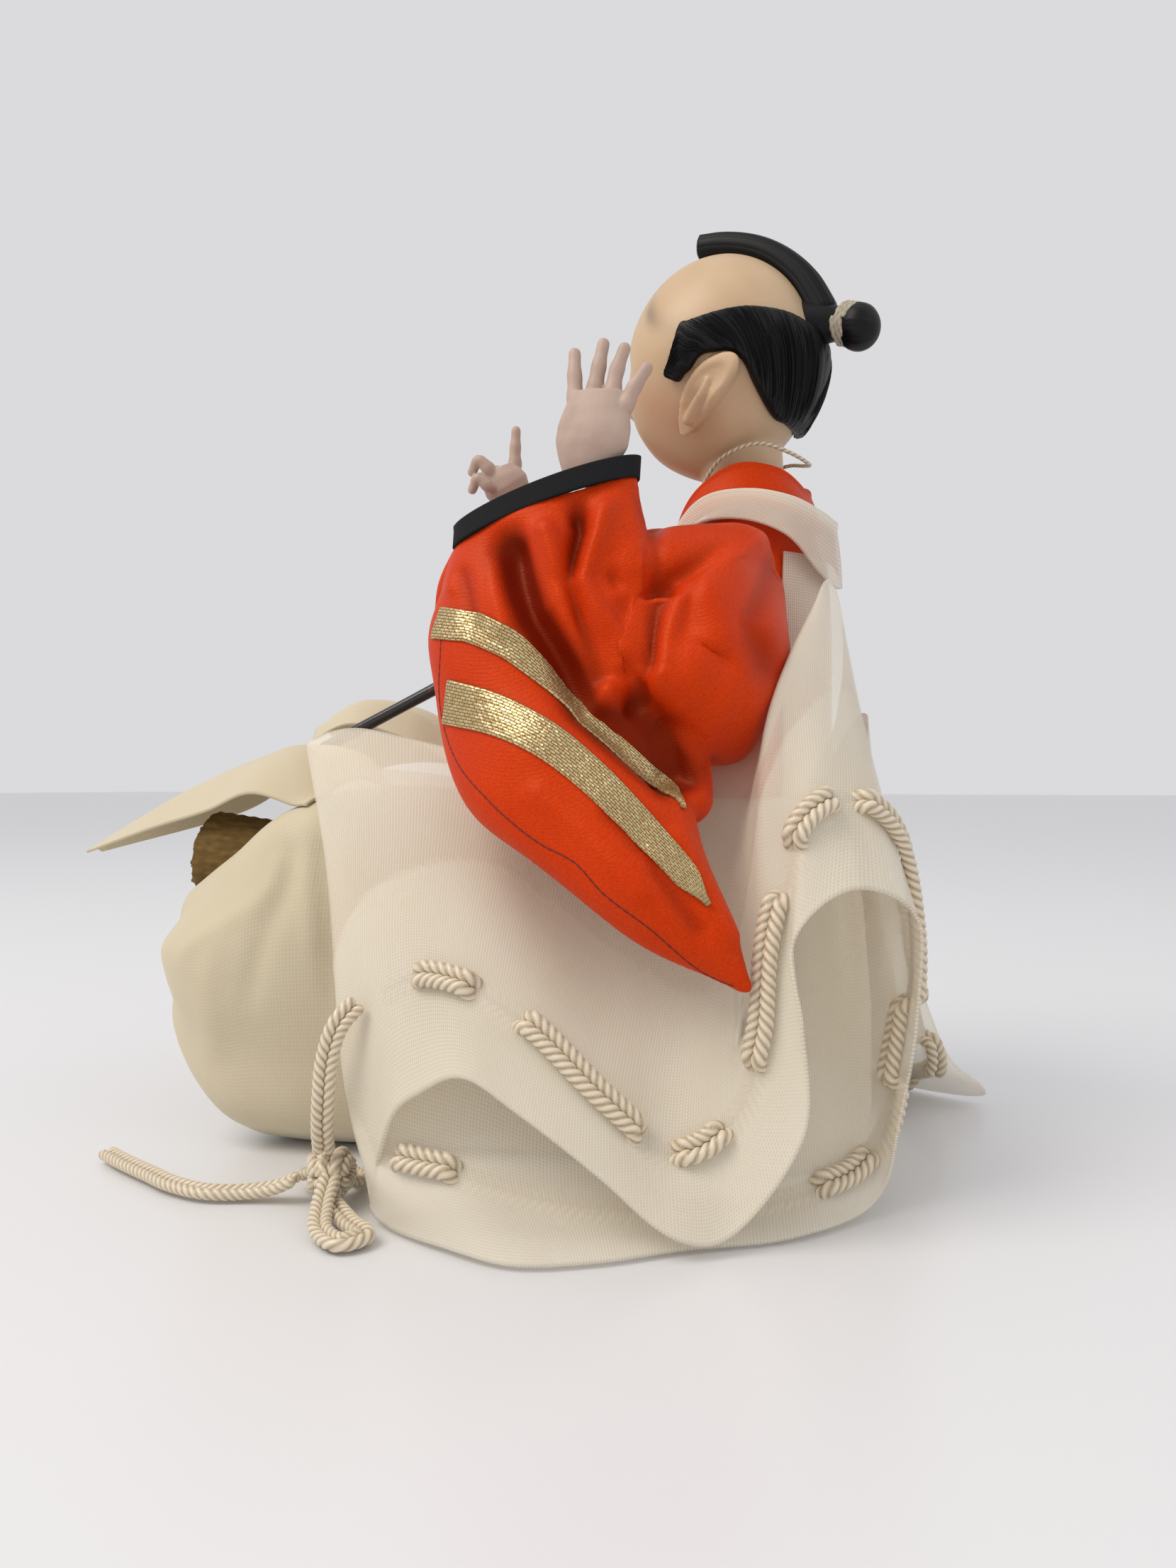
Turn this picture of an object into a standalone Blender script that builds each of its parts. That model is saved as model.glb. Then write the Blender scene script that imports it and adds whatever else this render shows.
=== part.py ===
# Seated hina attendant: straw body, gofun head and hands, padded satin kimono, laced gauze robe.
# The doll faces -Y, its left side is +X, and the table it sits on is z = 0.

import math

import bmesh
import bpy
import numpy as np
from mathutils import Vector
from mathutils.bvhtree import BVHTree

MM = 0.001

# Cloth and clearances (mm)
GAP = 0.3                 # air between two pieces that touch
SATIN_WALL = 0.9
GAUZE_WALL = 0.7
COLLAR_WALL = 0.9
BRAID_WALL = 0.6
HEM_LIFT = 0.1            # the lowest cloth above the table

# Body inside (mm)
SEAT_WIDTH = 46.0
SEAT_DEPTH = 36.0
SEAT_HEIGHT = 14.0
TORSO_HALF_WIDTH = 19.0
TORSO_HALF_DEPTH = 13.0
TORSO_TOP = 124.0
TORSO_CENTRE_Y = 2.0
LEG_CORE_RADIUS = 10.0
ARM_WIRE_RADIUS = 1.1
PEG_RADIUS = 3.0
PEG_SINK = 12.0           # how deep the peg goes into the body
PEG_RISE = 14.0           # how far it goes up into the neck

# Head (mm)
HEAD_CENTRE = (0.0, -4.3, 170.0)
HEAD_HALF_WIDTH = 21.2
FACE_DEPTH = 22.0
NAPE_DEPTH = 20.8
HEAD_HALF_HEIGHT = 24.6
NECK_RADIUS = 8.6
NECK_BOTTOM = 128.0
HAIR_THICKNESS = 1.6
HAIR_LIFT = 0.8           # hair above the scalp, so that flat facets stay clear
STRIP_WIDTH = 6.5
STRIP_THICKNESS = 4.9
BUN_RADII = (5.0, 4.6, 5.0)
TIE_RADIUS = 1.0

# Cord (mm)
CORD_RADIUS = 1.5
NECK_CORD_RADIUS = 0.7
STICK_RADIUS = 1.5


def spline(points, count):
    """Points spread evenly by length along a smooth curve through the given ones."""
    points = np.array(points, float)
    steps = np.linalg.norm(np.diff(points, axis=0), axis=1)
    knots = np.concatenate([[0.0], np.cumsum(steps)])
    return hermite(points, knots, np.linspace(0.0, knots[-1], count))


def hermite(points, knots, samples):
    """Cubic through points at the knots, its slopes taken from the neighbours on each side."""
    slopes = np.gradient(points, knots, axis=0)
    index = np.clip(np.searchsorted(knots, samples, side="right") - 1, 0, len(knots) - 2)
    span = (knots[index + 1] - knots[index])[:, None]
    t = (samples - knots[index])[:, None] / span
    a, b = points[index], points[index + 1]
    ma, mb = slopes[index] * span, slopes[index + 1] * span
    return (
        (2 * t**3 - 3 * t**2 + 1) * a
        + (t**3 - 2 * t**2 + t) * ma
        + (3 * t**2 - 2 * t**3) * b
        + (t**3 - t**2) * mb
    )


def net(rows, across, along):
    """Smooth grid through rows of control points, each row with as many points."""
    rows = np.array(rows, float)
    columns = np.arange(rows.shape[1], dtype=float)
    wide = np.stack([hermite(row, columns, np.linspace(0, columns[-1], across)) for row in rows])
    lines = np.arange(rows.shape[0], dtype=float)
    samples = np.linspace(0, lines[-1], along)
    return np.stack([hermite(wide[:, i], lines, samples) for i in range(across)], axis=1)


def grid_normals(grid, around):
    """Unit normals of a grid; around closes the second direction."""
    along = np.gradient(grid, axis=0)
    if around:
        across = np.roll(grid, -1, axis=1) - np.roll(grid, 1, axis=1)
    else:
        across = np.gradient(grid, axis=1)
    normals = np.cross(along, across)
    return normals / np.maximum(np.linalg.norm(normals, axis=2, keepdims=True), 1e-9)


def material(name, colour, roughness, metallic=0.0):
    """Principled material from an sRGB hex colour."""
    found = bpy.data.materials.get(name)
    if found:
        return found
    made = bpy.data.materials.new(name)
    made.use_nodes = True
    shader = made.node_tree.nodes["Principled BSDF"]
    values = [int(colour[i:i + 2], 16) / 255 for i in (0, 2, 4)]
    linear = [v / 12.92 if v <= 0.04045 else ((v + 0.055) / 1.055) ** 2.4 for v in values]
    shader.inputs["Base Color"].default_value = (*linear, 1.0)
    shader.inputs["Roughness"].default_value = roughness
    shader.inputs["Metallic"].default_value = metallic
    return made


def skin():
    return material("gofun_skin", "D8B990", 0.5)


def satin():
    return material("orange_satin", "DE3D14", 0.38)


def gauze():
    return material("ivory_gauze", "D9D1BC", 0.7)


def cotton():
    return material("ivory_cotton", "D8CBAC", 0.8)


def straw():
    return material("straw", "6B5430", 0.85)


def wood():
    return material("paulownia", "B79B72", 0.7)


def hair():
    return material("black_silk_hair", "141416", 0.35)


def braid():
    return material("gold_braid", "B79A5A", 0.4, 0.6)


def black_cloth():
    return material("black_facing", "1B1B1F", 0.7)


def cord_silk():
    return material("cream_cord", "E9DCC6", 0.5)


def paper():
    return material("tie_paper", "B5AB97", 0.7)


def wire():
    return material("iron_wire", "6E6A63", 0.45, 0.9)


def lacquer():
    return material("black_lacquer", "171214", 0.2)


def solid(name, points, faces, finish):
    """One object from points in millimetres, its faces turned outwards and shaded smooth."""
    mesh = bpy.data.meshes.new(name)
    mesh.from_pydata((np.array(points) * MM).tolist(), [], faces)
    form = bmesh.new()
    form.from_mesh(mesh)
    bmesh.ops.recalc_face_normals(form, faces=form.faces)
    form.to_mesh(mesh)
    form.free()
    mesh.materials.append(finish)
    mesh.shade_smooth()
    mesh.set_sharp_from_angle(angle=math.radians(40))
    made = bpy.data.objects.new(name, mesh)
    bpy.context.scene.collection.objects.link(made)
    return made


def between(name, outer, inner, finish, around=False):
    """Closed skin between two grids; around joins the last column to the first."""
    rows, columns = outer.shape[:2]
    points = np.concatenate([outer.reshape(-1, 3), inner.reshape(-1, 3)])
    far = rows * columns
    spans = columns if around else columns - 1
    faces = []
    for r in range(rows - 1):
        for c in range(spans):
            n = (c + 1) % columns
            quad = (r * columns + c, r * columns + n, (r + 1) * columns + n, (r + 1) * columns + c)
            faces.append(quad)
            faces.append(tuple(far + i for i in reversed(quad)))
    for c in range(spans):
        n = (c + 1) % columns
        last = (rows - 1) * columns
        faces.append((n, c, far + c, far + n))
        faces.append((last + c, last + n, far + last + n, far + last + c))
    if not around:
        for r in range(rows - 1):
            a, b = r * columns, (r + 1) * columns
            faces.append((a, b, far + b, far + a))
            a, b = a + columns - 1, b + columns - 1
            faces.append((b, a, far + a, far + b))
    return solid(name, points, faces, finish)


def sheet(name, grid, wall, finish, around=False):
    """Cloth of an even wall on both sides of a grid."""
    normals = grid_normals(grid, around) * wall / 2
    return between(name, grid + normals, grid - normals, finish, around)


def loft(name, rings, finish):
    """Solid through closed rings, each end closed by a fan on its own middle point."""
    rings = np.array(rings, float)
    count, size = rings.shape[:2]
    points = list(rings.reshape(-1, 3)) + [rings[0].mean(axis=0), rings[-1].mean(axis=0)]
    first, last = count * size, count * size + 1
    faces = []
    for c in range(size):
        n = (c + 1) % size
        for r in range(count - 1):
            faces.append((r * size + c, r * size + n, (r + 1) * size + n, (r + 1) * size + c))
        faces.append((n, c, first))
        faces.append(((count - 1) * size + c, (count - 1) * size + n, last))
    return solid(name, points, faces, finish)


def circle_rings(path, radii, sides, flatten=1.0):
    """Rings square to a path; flatten is the second radius over the first."""
    path = np.array(path, float)
    radii = np.broadcast_to(np.array(radii, float), (len(path),))
    heading = np.gradient(path, axis=0)
    heading /= np.linalg.norm(heading, axis=1, keepdims=True)
    side = np.zeros(3)
    side[np.argmin(np.abs(heading).mean(axis=0))] = 1.0
    first = np.cross(heading, side)
    first /= np.linalg.norm(first, axis=1, keepdims=True)
    second = np.cross(heading, first)
    turn = np.linspace(0, 2 * math.pi, sides, endpoint=False)
    return (
        path[:, None]
        + radii[:, None, None] * np.cos(turn)[None, :, None] * first[:, None]
        + radii[:, None, None] * flatten * np.sin(turn)[None, :, None] * second[:, None]
    )


def rod(name, path, radii, sides, finish, flatten=1.0):
    return loft(name, circle_rings(path, radii, sides, flatten), finish)


def cord(name, route, radius, finish):
    """Round cord as a curve of straight spans between points read from a smooth curve."""
    data = bpy.data.curves.new(name, "CURVE")
    data.dimensions = "3D"
    data.bevel_depth = radius * MM
    data.bevel_resolution = 2
    data.use_fill_caps = True
    data.render_resolution_u = 0
    route = np.array(route, float) * MM
    line = data.splines.new("POLY")
    line.points.add(len(route) - 1)
    line.points.foreach_set("co", np.column_stack([route, np.ones(len(route))]).ravel())
    data.materials.append(finish)
    made = bpy.data.objects.new(name, data)
    bpy.context.scene.collection.objects.link(made)
    return made


def blend_with(target, tool, operation, solver="EXACT"):
    """Boolean of two solids; the tool is used up."""
    step = target.modifiers.new(operation, "BOOLEAN")
    step.operation = operation
    step.solver = solver
    step.object = tool
    graph = bpy.context.evaluated_depsgraph_get()
    mesh = bpy.data.meshes.new_from_object(target.evaluated_get(graph))
    target.modifiers.clear()
    target.data = mesh
    bpy.data.objects.remove(tool)
    return target


def surface_of(made):
    """Search tree of an object's evaluated surface, in metres."""
    graph = bpy.context.evaluated_depsgraph_get()
    return BVHTree.FromObject(made, graph)


def is_inside(tree, place):
    """Whether a point lies in a closed surface: a ray from it meets an odd number of faces."""
    heading = Vector((0.31, 0.23, 0.92)).normalized()
    hits, start = 0, place
    while hits < 20:
        spot = tree.ray_cast(start, heading)[0]
        if spot is None:
            break
        hits += 1
        start = spot + heading * 1e-6
    return hits % 2 == 1


def lay_clear(grid, carriers, clear):
    """Moves each point of a cloth grid that lies in, or too close to, a carrier out to its face."""
    moved = grid.copy()
    flat = moved.reshape(-1, 3)
    for carrier in carriers:
        tree = surface_of(carrier)
        for i, point in enumerate(flat):
            place = Vector(point * MM)
            spot, normal, _, distance = tree.find_nearest(place)
            if is_inside(tree, place):
                flat[i] = np.array(spot + normal * clear * MM) / MM
            elif distance < clear * MM:
                flat[i] = np.array(spot + (place - spot).normalized() * clear * MM) / MM
    flat[:, 2] = np.maximum(flat[:, 2], HEM_LIFT + GAUZE_WALL / 2)
    return moved


def ellipse_ring(centre_x, centre_y, half_x, half_y, height, sides, power=1.0):
    """Level ring; a power under one squares it off."""
    turn = np.linspace(0, 2 * math.pi, sides, endpoint=False)
    cosine, sine = np.cos(turn), np.sin(turn)
    return np.column_stack([
        centre_x + half_x * np.sign(cosine) * np.abs(cosine) ** power,
        centre_y + half_y * np.sign(sine) * np.abs(sine) ** power,
        np.full(sides, float(height)),
    ])


# Body inside


def make_seat_block():
    """Paulownia block under the straw body; its flat base is what the doll rests on."""
    rings = [
        ellipse_ring(0, TORSO_CENTRE_Y, SEAT_WIDTH / 2, SEAT_DEPTH / 2, z, 20, 0.5)
        for z in (0, SEAT_HEIGHT)
    ]
    return loft("seat_block", rings, wood())


def torso_rings(extra, sides, heights):
    """Rings of the straw body, widest at the hips and drawn in at the shoulders."""
    rings = []
    for z in heights:
        rise = (z - SEAT_HEIGHT) / (TORSO_TOP - SEAT_HEIGHT)
        swell = 1.12 - 0.22 * rise - 0.28 * max(0.0, rise - 0.8) / 0.2
        rings.append(ellipse_ring(
            0, TORSO_CENTRE_Y, TORSO_HALF_WIDTH * swell + extra,
            TORSO_HALF_DEPTH * swell + extra, z, sides))
    return rings


def make_torso_core():
    heights = np.linspace(SEAT_HEIGHT + GAP, TORSO_TOP, 9)
    body = loft("torso_core", torso_rings(0, 20, heights), straw())
    hole = rod("peg_hole", [(0, 0, TORSO_TOP - PEG_SINK), (0, 0, TORSO_TOP + 5)],
               PEG_RADIUS + GAP, 12, wood())
    return blend_with(body, hole, "DIFFERENCE")


def make_neck_peg():
    low = TORSO_TOP - PEG_SINK + GAP
    high = NECK_BOTTOM + PEG_RISE - GAP
    return rod("neck_peg", [(0, 0, low), (0, 0, high)], PEG_RADIUS, 12, wood())


LEG_CORE_START = (25.0, -26.0, 50.0)
LEG_CORE_END = (43.0, -112.0, 62.0)


def leg_core_path(side):
    start, end = np.array(LEG_CORE_START), np.array(LEG_CORE_END)
    return np.array([start + (end - start) * t for t in (0.0, 0.5, 1.0)]) * (side, 1, 1)


def make_leg_core(prefix, side):
    """Roll of wound straw that fills one trouser leg; its end shows below the front flap."""
    return rod(prefix + "_leg_core", leg_core_path(side), LEG_CORE_RADIUS, 20, straw())


# Head


def head_point(azimuth, elevation, extra=0.0):
    """Skull and face surface; azimuth 0 looks along -Y, positive to the doll's left."""
    x = np.sin(azimuth) * np.cos(elevation)
    y = -np.cos(azimuth) * np.cos(elevation)
    z = np.sin(elevation)
    low = np.clip(-z, 0, 1)
    front = np.clip(-y, 0, 1)
    width = HEAD_HALF_WIDTH * (1 - 0.24 * low ** 1.6)
    depth = np.where(y > 0, NAPE_DEPTH * (1 - 0.30 * low ** 1.4), FACE_DEPTH * (1 - 0.10 * low))
    px = x * width
    py = y * depth
    pz = z * HEAD_HALF_HEIGHT - 0.6 * front * low
    nose = np.exp(-(px / 2.2) ** 2 - ((pz + 5.5) / 3.6) ** 2) * front
    bridge = np.exp(-(px / 2.6) ** 2 - ((pz - 1.5) / 5.0) ** 2) * front
    sockets = np.exp(-((np.abs(px) - 8.0) / 4.2) ** 2 - ((pz - 0.5) / 3.0) ** 2) * front
    cheeks = np.exp(-((np.abs(px) - 10.0) / 5.0) ** 2 - ((pz + 8.0) / 5.5) ** 2) * front
    lips = np.exp(-(px / 3.8) ** 2 - ((pz + 12.0) / 1.9) ** 2) * front
    chin = np.exp(-(px / 5.0) ** 2 - ((pz + 19.5) / 3.4) ** 2) * front
    py = py - 3.4 * nose - 1.0 * bridge + 1.1 * sockets - 0.7 * cheeks - 0.9 * lips - 1.3 * chin
    points = np.stack([px, py, pz], axis=-1)
    length = np.linalg.norm(points, axis=-1, keepdims=True)
    return np.array(HEAD_CENTRE) + points * (1 + extra / length)


EAR_CENTRE = (18.2, -2.7, 158.9)
EAR_HALF_HEIGHT = 7.2
EAR_HALF_WIDTH = 4.0
EAR_LEAN = 0.72            # how far the ear's top lies behind its middle, per millimetre of height


def ear_points(side):
    """Outline loops of an ear: a raised rim round a shallow bowl, leaning back."""
    rings = []
    for reach, size in ((-3.0, 0.62), (1.5, 0.95), (3.6, 1.0), (4.4, 0.82), (3.4, 0.55)):
        turn = np.linspace(0, 2 * math.pi, 10, endpoint=False)
        tall, wide = EAR_HALF_HEIGHT * size, EAR_HALF_WIDTH * size
        up = tall * np.cos(turn)
        back = wide * np.sin(turn) * (1.0 + 0.25 * np.cos(turn)) + EAR_LEAN * up
        x = EAR_CENTRE[0] + reach + 0.1 * back
        y = EAR_CENTRE[1] + back
        z = EAR_CENTRE[2] + up
        rings.append(np.column_stack([side * x, y, z]))
    return rings


def make_head():
    around = np.linspace(0, 2 * math.pi, 30, endpoint=False)
    rings = [head_point(around, np.full(30, e)) for e in np.radians(np.linspace(-84, 84, 19))]
    made = loft("head", rings, skin())
    neck_path = [(0, 0.3, NECK_BOTTOM), (0, 0, 140), (0, -1, 152), (0, -1.6, 160)]
    made = blend_with(made, rod("neck", neck_path, (NECK_RADIUS, NECK_RADIUS, NECK_RADIUS + 0.6, 9),
                                14, skin()), "UNION")
    for side in (1, -1):
        made = blend_with(made, loft("ear", ear_points(side), skin()), "UNION")
    hole = rod("peg_hole", [(0, 0, NECK_BOTTOM - 5), (0, 0, NECK_BOTTOM + PEG_RISE)],
               PEG_RADIUS + GAP, 12, wood())
    return blend_with(made, hole, "DIFFERENCE")


HAIR_AZIMUTHS = (74, 77, 80, 84, 88, 93, 104, 111, 119, 126, 139, 153, 166, 180)   # from the face
HAIR_TOP = (-12.5, -8, -2, 8, 8.8, 9.6, 11.5, 12.8, 14, 14.3, 14.5, 13.5, 12, 11.5)
HAIR_LOW = (-14.5, -16.5, -18, -15.5, -13.5, -9, -7, -7, -11.5, -19.5, -29.5, -35, -35.5, -36)


def make_side_hair():
    """Silk hair round the sides and back; the crown and the forehead stay shaved."""
    angles = np.array(HAIR_AZIMUTHS, float)
    both = np.concatenate([angles, 360 - angles[-2::-1]])
    top = np.concatenate([HAIR_TOP, HAIR_TOP[-2::-1]])
    low = np.concatenate([HAIR_LOW, HAIR_LOW[-2::-1]])
    rows = []
    for t in np.linspace(0, 1, 6):
        rows.append(np.stack([np.radians(both), np.radians(low + (top - low) * t)], axis=-1))
    rows = np.array(rows)
    edge = np.array([0.5, 1, 1, 1, 1, 0.5])[:, None, None]
    scalp = head_point(rows[..., 0], rows[..., 1])
    radial = scalp - np.array(HEAD_CENTRE)
    radial /= np.linalg.norm(radial, axis=-1, keepdims=True)
    inner = scalp + radial * HAIR_LIFT
    outer = inner + radial * HAIR_THICKNESS * edge
    return between("side_hair", outer, inner, hair())


TIE_CENTRE = (0.0, 21.8, 176.5)
TIE_TILT = 76.0           # degrees that its ring leans back from level
TIE_INNER = 3.9
STRIP_PATH = ((0, -10.3, 198.6), (0, -4.6, 198.2), (0, 4.5, 195.3), (0, 10.8, 190.9), (0, 14.7, 186.6),
              (0, 17, 182.6), (0, 19.0, 178.6))
BUN_CENTRE = (0.0, 25.3, 175.2)


def make_topknot():
    """Lacquered lock laid forward over the crown, its paper tie and the bun behind it."""
    path = spline(STRIP_PATH, 12)
    radii = np.full(12, STRIP_THICKNESS / 2)
    strip = rod("topknot_strip", path, radii, 12, hair(), STRIP_WIDTH / STRIP_THICKNESS)
    turn = np.radians(np.linspace(-84, 84, 9))
    rings = []
    for t in turn:
        ring = ellipse_ring(0, 0, BUN_RADII[0] * math.cos(t), BUN_RADII[1] * math.cos(t),
                            BUN_RADII[2] * math.sin(t), 14)
        rings.append(ring + np.array(BUN_CENTRE))
    bun = loft("topknot_bun", rings, hair())
    return strip, bun


# Hands

LEFT_PALM = ((47.3, -15.9, 136.3), (47.3, -16.4, 139), (47.2, -17.5, 144), (47, -19, 149), (47, -20, 152))
LEFT_FINGERS = (
    ((47, -26.5, 149), (46.5, -28.5, 155), (46, -29.8, 160.5)),
    ((47, -22.8, 150.5), (46.6, -23.4, 157), (46, -23.6, 162.6)),
    ((47, -19, 150.5), (47, -18.4, 156.5), (46.4, -17.4, 161.8)),
    ((47, -15.4, 149), (47.4, -13.2, 153.5), (47.4, -10.8, 157)),
    ((44.5, -17, 141), (40, -21, 146), (38, -24, 151)),
)
RIGHT_PALM = ((-18, -66.2, 148.4), (-17.6, -67, 150.4), (-16.6, -68.4, 153.5), (-15, -69.8, 157), (-14.4, -70.4, 159))
RIGHT_FINGERS = (
    ((-16.5, -67, 158), (-16.2, -66.4, 163), (-16, -66, 168.5)),
    ((-12.5, -71.5, 158), (-10.8, -74, 160.5), (-11.6, -76.4, 158)),
    ((-12.8, -71.5, 154), (-11, -74.2, 156), (-12, -76.6, 153.6)),
    ((-19, -69.5, 157), (-18.4, -73.5, 159.5), (-18.4, -76.2, 157)),
    ((-20, -66, 152), (-23, -69, 155), (-22.5, -72.5, 157.5)),
)


def make_tie():
    """Paper cord wound round the lock where it turns down into the bun."""
    turn = np.linspace(0, 2 * math.pi, 16, endpoint=False)
    centre, tilt = np.array(TIE_CENTRE), math.radians(TIE_TILT)
    rings = []
    for a in turn:
        out = np.array([math.cos(a), math.sin(a) * math.cos(tilt), math.sin(a) * math.sin(tilt)])
        axis = np.array([0.0, -math.sin(tilt), math.cos(tilt)])
        ring = [centre + out * (TIE_INNER + TIE_RADIUS + TIE_RADIUS * math.cos(b))
                + axis * TIE_RADIUS * 1.2 * math.sin(b)
                for b in np.linspace(0, 2 * math.pi, 8, endpoint=False)]
        rings.append(ring)
    faces = []
    for r in range(16):
        m = (r + 1) % 16
        for c in range(8):
            n = (c + 1) % 8
            faces.append((r * 8 + c, r * 8 + n, m * 8 + n, m * 8 + c))
    return solid("topknot_tie", np.array(rings).reshape(-1, 3), faces, paper())


def make_hand(name, palm, fingers, palm_radii, flatten):
    made = rod(name, palm, palm_radii, 10, skin(), flatten)
    for finger in fingers:
        root = np.array(finger[0]) * 0.6 + palm[3] * 0.4
        path = spline(np.vstack([root, finger]), 5)
        path = np.vstack([path, path[-1] + (path[-1] - path[-2]) * 0.3])
        digit = rod("digit", path, (2.0, 2.0, 1.9, 1.7, 1.45, 0.6), 7, skin())
        made = blend_with(made, digit, "UNION", "MANIFOLD")
    return made


# Kimono sleeves: a padded arm and a pointed bag hanging below the forearm

LEFT_BAG = (
    ((53, -42, 125), (54, -45, 117), (57, -46, 105), (61, -41, 88), (66, -32, 74),
     (68, -19, 65), (68, -6, 56), (65, 6, 48), (60, 19, 42)),
    ((45, -7, 137), (46, -4.5, 124), (46.5, -3.5, 110), (47, -3, 98), (50, 1, 89),
     (53, 7, 76), (57, 12, 64), (59, 17, 53), (60, 21, 43)))
RIGHT_BAG = (
    ((-6, -77, 140), (-4, -82, 127), (-4, -83, 113), (-9, -79, 100), (-18, -68, 92),
     (-28, -52, 94), (-38, -34, 90), (-44, -20, 84), (-48, -12, 77)),
    ((-25, -56, 149), (-30, -44, 136), (-36, -30, 126), (-41, -18, 116), (-45, -9, 107),
     (-48, -3, 101), (-50, -1, 95), (-50, -4, 87), (-49, -10, 78)))
BAG_HALF_THICKNESS = (6.5, 8.5, 10.0, 10.5, 10.0, 8.5, 6.5, 4.0, 1.0)
LEFT_ARM = ((22.5, 3.5, 117), (28, 3.5, 111), (35, 3, 102), (40, 1.5, 95), (42, -1, 100), (42, -2, 112))
RIGHT_ARM = ((-22.5, 1, 116), (-28, -2, 114), (-34, -7, 113), (-38, -15, 115), (-37, -27, 121))
LEFT_ARM_RADII = (12.5, 14.5, 16.5, 15.5, 12.0, 9.0)
RIGHT_ARM_RADII = (10.0, 12.0, 13.0, 12.0, 9.0)
LEFT_WIRE = ((25.5, 3.5, 114.5), (30, 3.5, 110), (37, 2.5, 103), (44, -3, 103), (46.5, -11, 116), (47.3, -15, 131),
             (47.3, -15.7, 135.7))
RIGHT_WIRE = ((-25.5, -0.5, 115), (-28.5, -2.2, 114), (-34, -9, 113), (-35, -22, 116), (-29, -38, 122),
              (-22.5, -53, 132), (-19, -62, 141), (-18.1, -65.8, 147.7))


def bag_point(edges, s, t, side=1.0, extra=0.0):
    """Point of a bag's face at station s (0 cuff, 8 tip) and share t from front to back edge."""
    front_edge, back_edge = (np.array(edge, float) for edge in edges)
    knots = np.arange(len(front_edge), dtype=float)
    s, t = np.broadcast_arrays(np.asarray(s, float), np.asarray(t, float))
    shape = s.shape
    s = np.clip(s.ravel(), 0, knots[-1])
    t = t.ravel()[:, None]

    def chord(at):
        front, back = hermite(front_edge, knots, at), hermite(back_edge, knots, at)
        return front, back - front

    front, reach = chord(s)
    ahead, behind = np.clip(s + 0.4, 0, knots[-1]), np.clip(s - 0.4, 0, knots[-1])
    run = chord(ahead)[0] + chord(ahead)[1] / 2 - chord(behind)[0] - chord(behind)[1] / 2
    out = np.cross(run, reach)
    out /= np.linalg.norm(out, axis=1, keepdims=True)
    out *= np.sign(np.sum(out * (front_edge.mean(axis=0) * (1, 0, 0)), axis=1, keepdims=True))
    half = hermite(np.array(BAG_HALF_THICKNESS)[:, None], knots, s)
    swell = half * (4 * t * (1 - t)) ** 0.62 + extra
    return (front + reach * t + out * swell * side).reshape(*shape, 3)


def bag_ring(edges, s, extra=0.0):
    """Closed ring of 20 points round the bag at one station."""
    shares = (1 - np.cos(np.linspace(0, math.pi, 11))) / 2
    near = bag_point(edges, np.full(11, s), shares, 1, extra)
    far = bag_point(edges, np.full(9, s), shares[-2:0:-1], -1, extra)
    return np.vstack([near, far])


def make_kimono_sleeve(prefix, edges, arm_path, arm_radii, wire_path):
    """Padded sleeve: the bag below the forearm, joined to the upper arm at the elbow crease."""
    rings = [bag_ring(edges, s) for s in np.linspace(0, 8, 14)]
    made = loft(prefix + "_kimono_sleeve", rings, satin())
    spans = len(arm_path) - 1
    radii = np.interp(np.linspace(0, spans, 9), range(spans + 1), arm_radii)
    made = blend_with(made, rod("arm", spline(arm_path, 9), radii, 14, satin()), "UNION", "MANIFOLD")
    made = clear_trunk(made)
    route = spline(wire_path, 15)
    route[-1] += (route[-1] - route[-2]) * 1.5
    route[0] += (route[0] - route[1]) * 1.5
    bore = rod("bore", route, ARM_WIRE_RADIUS + GAP, 8, satin())
    return blend_with(made, bore, "DIFFERENCE", "MANIFOLD")


def make_arm_wire(prefix, wire_path):
    """Iron wire that holds the arm's pose, from the body to the wrist."""
    return rod(prefix + "_arm_wire", spline(wire_path, 15), ARM_WIRE_RADIUS, 8, wire())


CUFF_HEIGHT = 3.2


def make_cuff(prefix, edges):
    """Black facing that stands round the mouth of a sleeve."""
    low = bag_ring(edges, 0.0, -0.2)
    run = bag_ring(edges, 0.0).mean(axis=0) - bag_ring(edges, 0.4).mean(axis=0)
    up = run / np.linalg.norm(run)
    grid = np.stack([low + up * (GAP + CUFF_HEIGHT * t) for t in (0, 1)])
    return sheet(prefix + "_cuff", grid, COLLAR_WALL, black_cloth(), around=True)


UPPER_BRAID = ((1.9, 0.04), (2.25, 0.2), (2.9, 0.42), (3.75, 0.66), (4.9, 0.9))
LOWER_BRAID = ((2.9, 0.04), (3.45, 0.2), (4.4, 0.42), (5.8, 0.66), (7.25, 0.9))
UPPER_BRAID_WIDTH = 6.5
LOWER_BRAID_WIDTH = 8.5


def make_braid(name, edges, route, width):
    """Woven band laid slantwise over the outer face of a sleeve bag."""
    path = spline(route, 12)
    along = np.linalg.norm(bag_point(edges, path[:, 0] + 0.2, path[:, 1])
                           - bag_point(edges, path[:, 0] - 0.2, path[:, 1]), axis=1) / 0.4
    reach = width / 2 / along
    rows = [bag_point(edges, path[:, 0] + reach * w, path[:, 1], 1, GAP + BRAID_WALL)
            for w in (-1, 0, 1)]
    return sheet(name, np.stack(rows), BRAID_WALL, braid())


# Garments on the trunk

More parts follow.
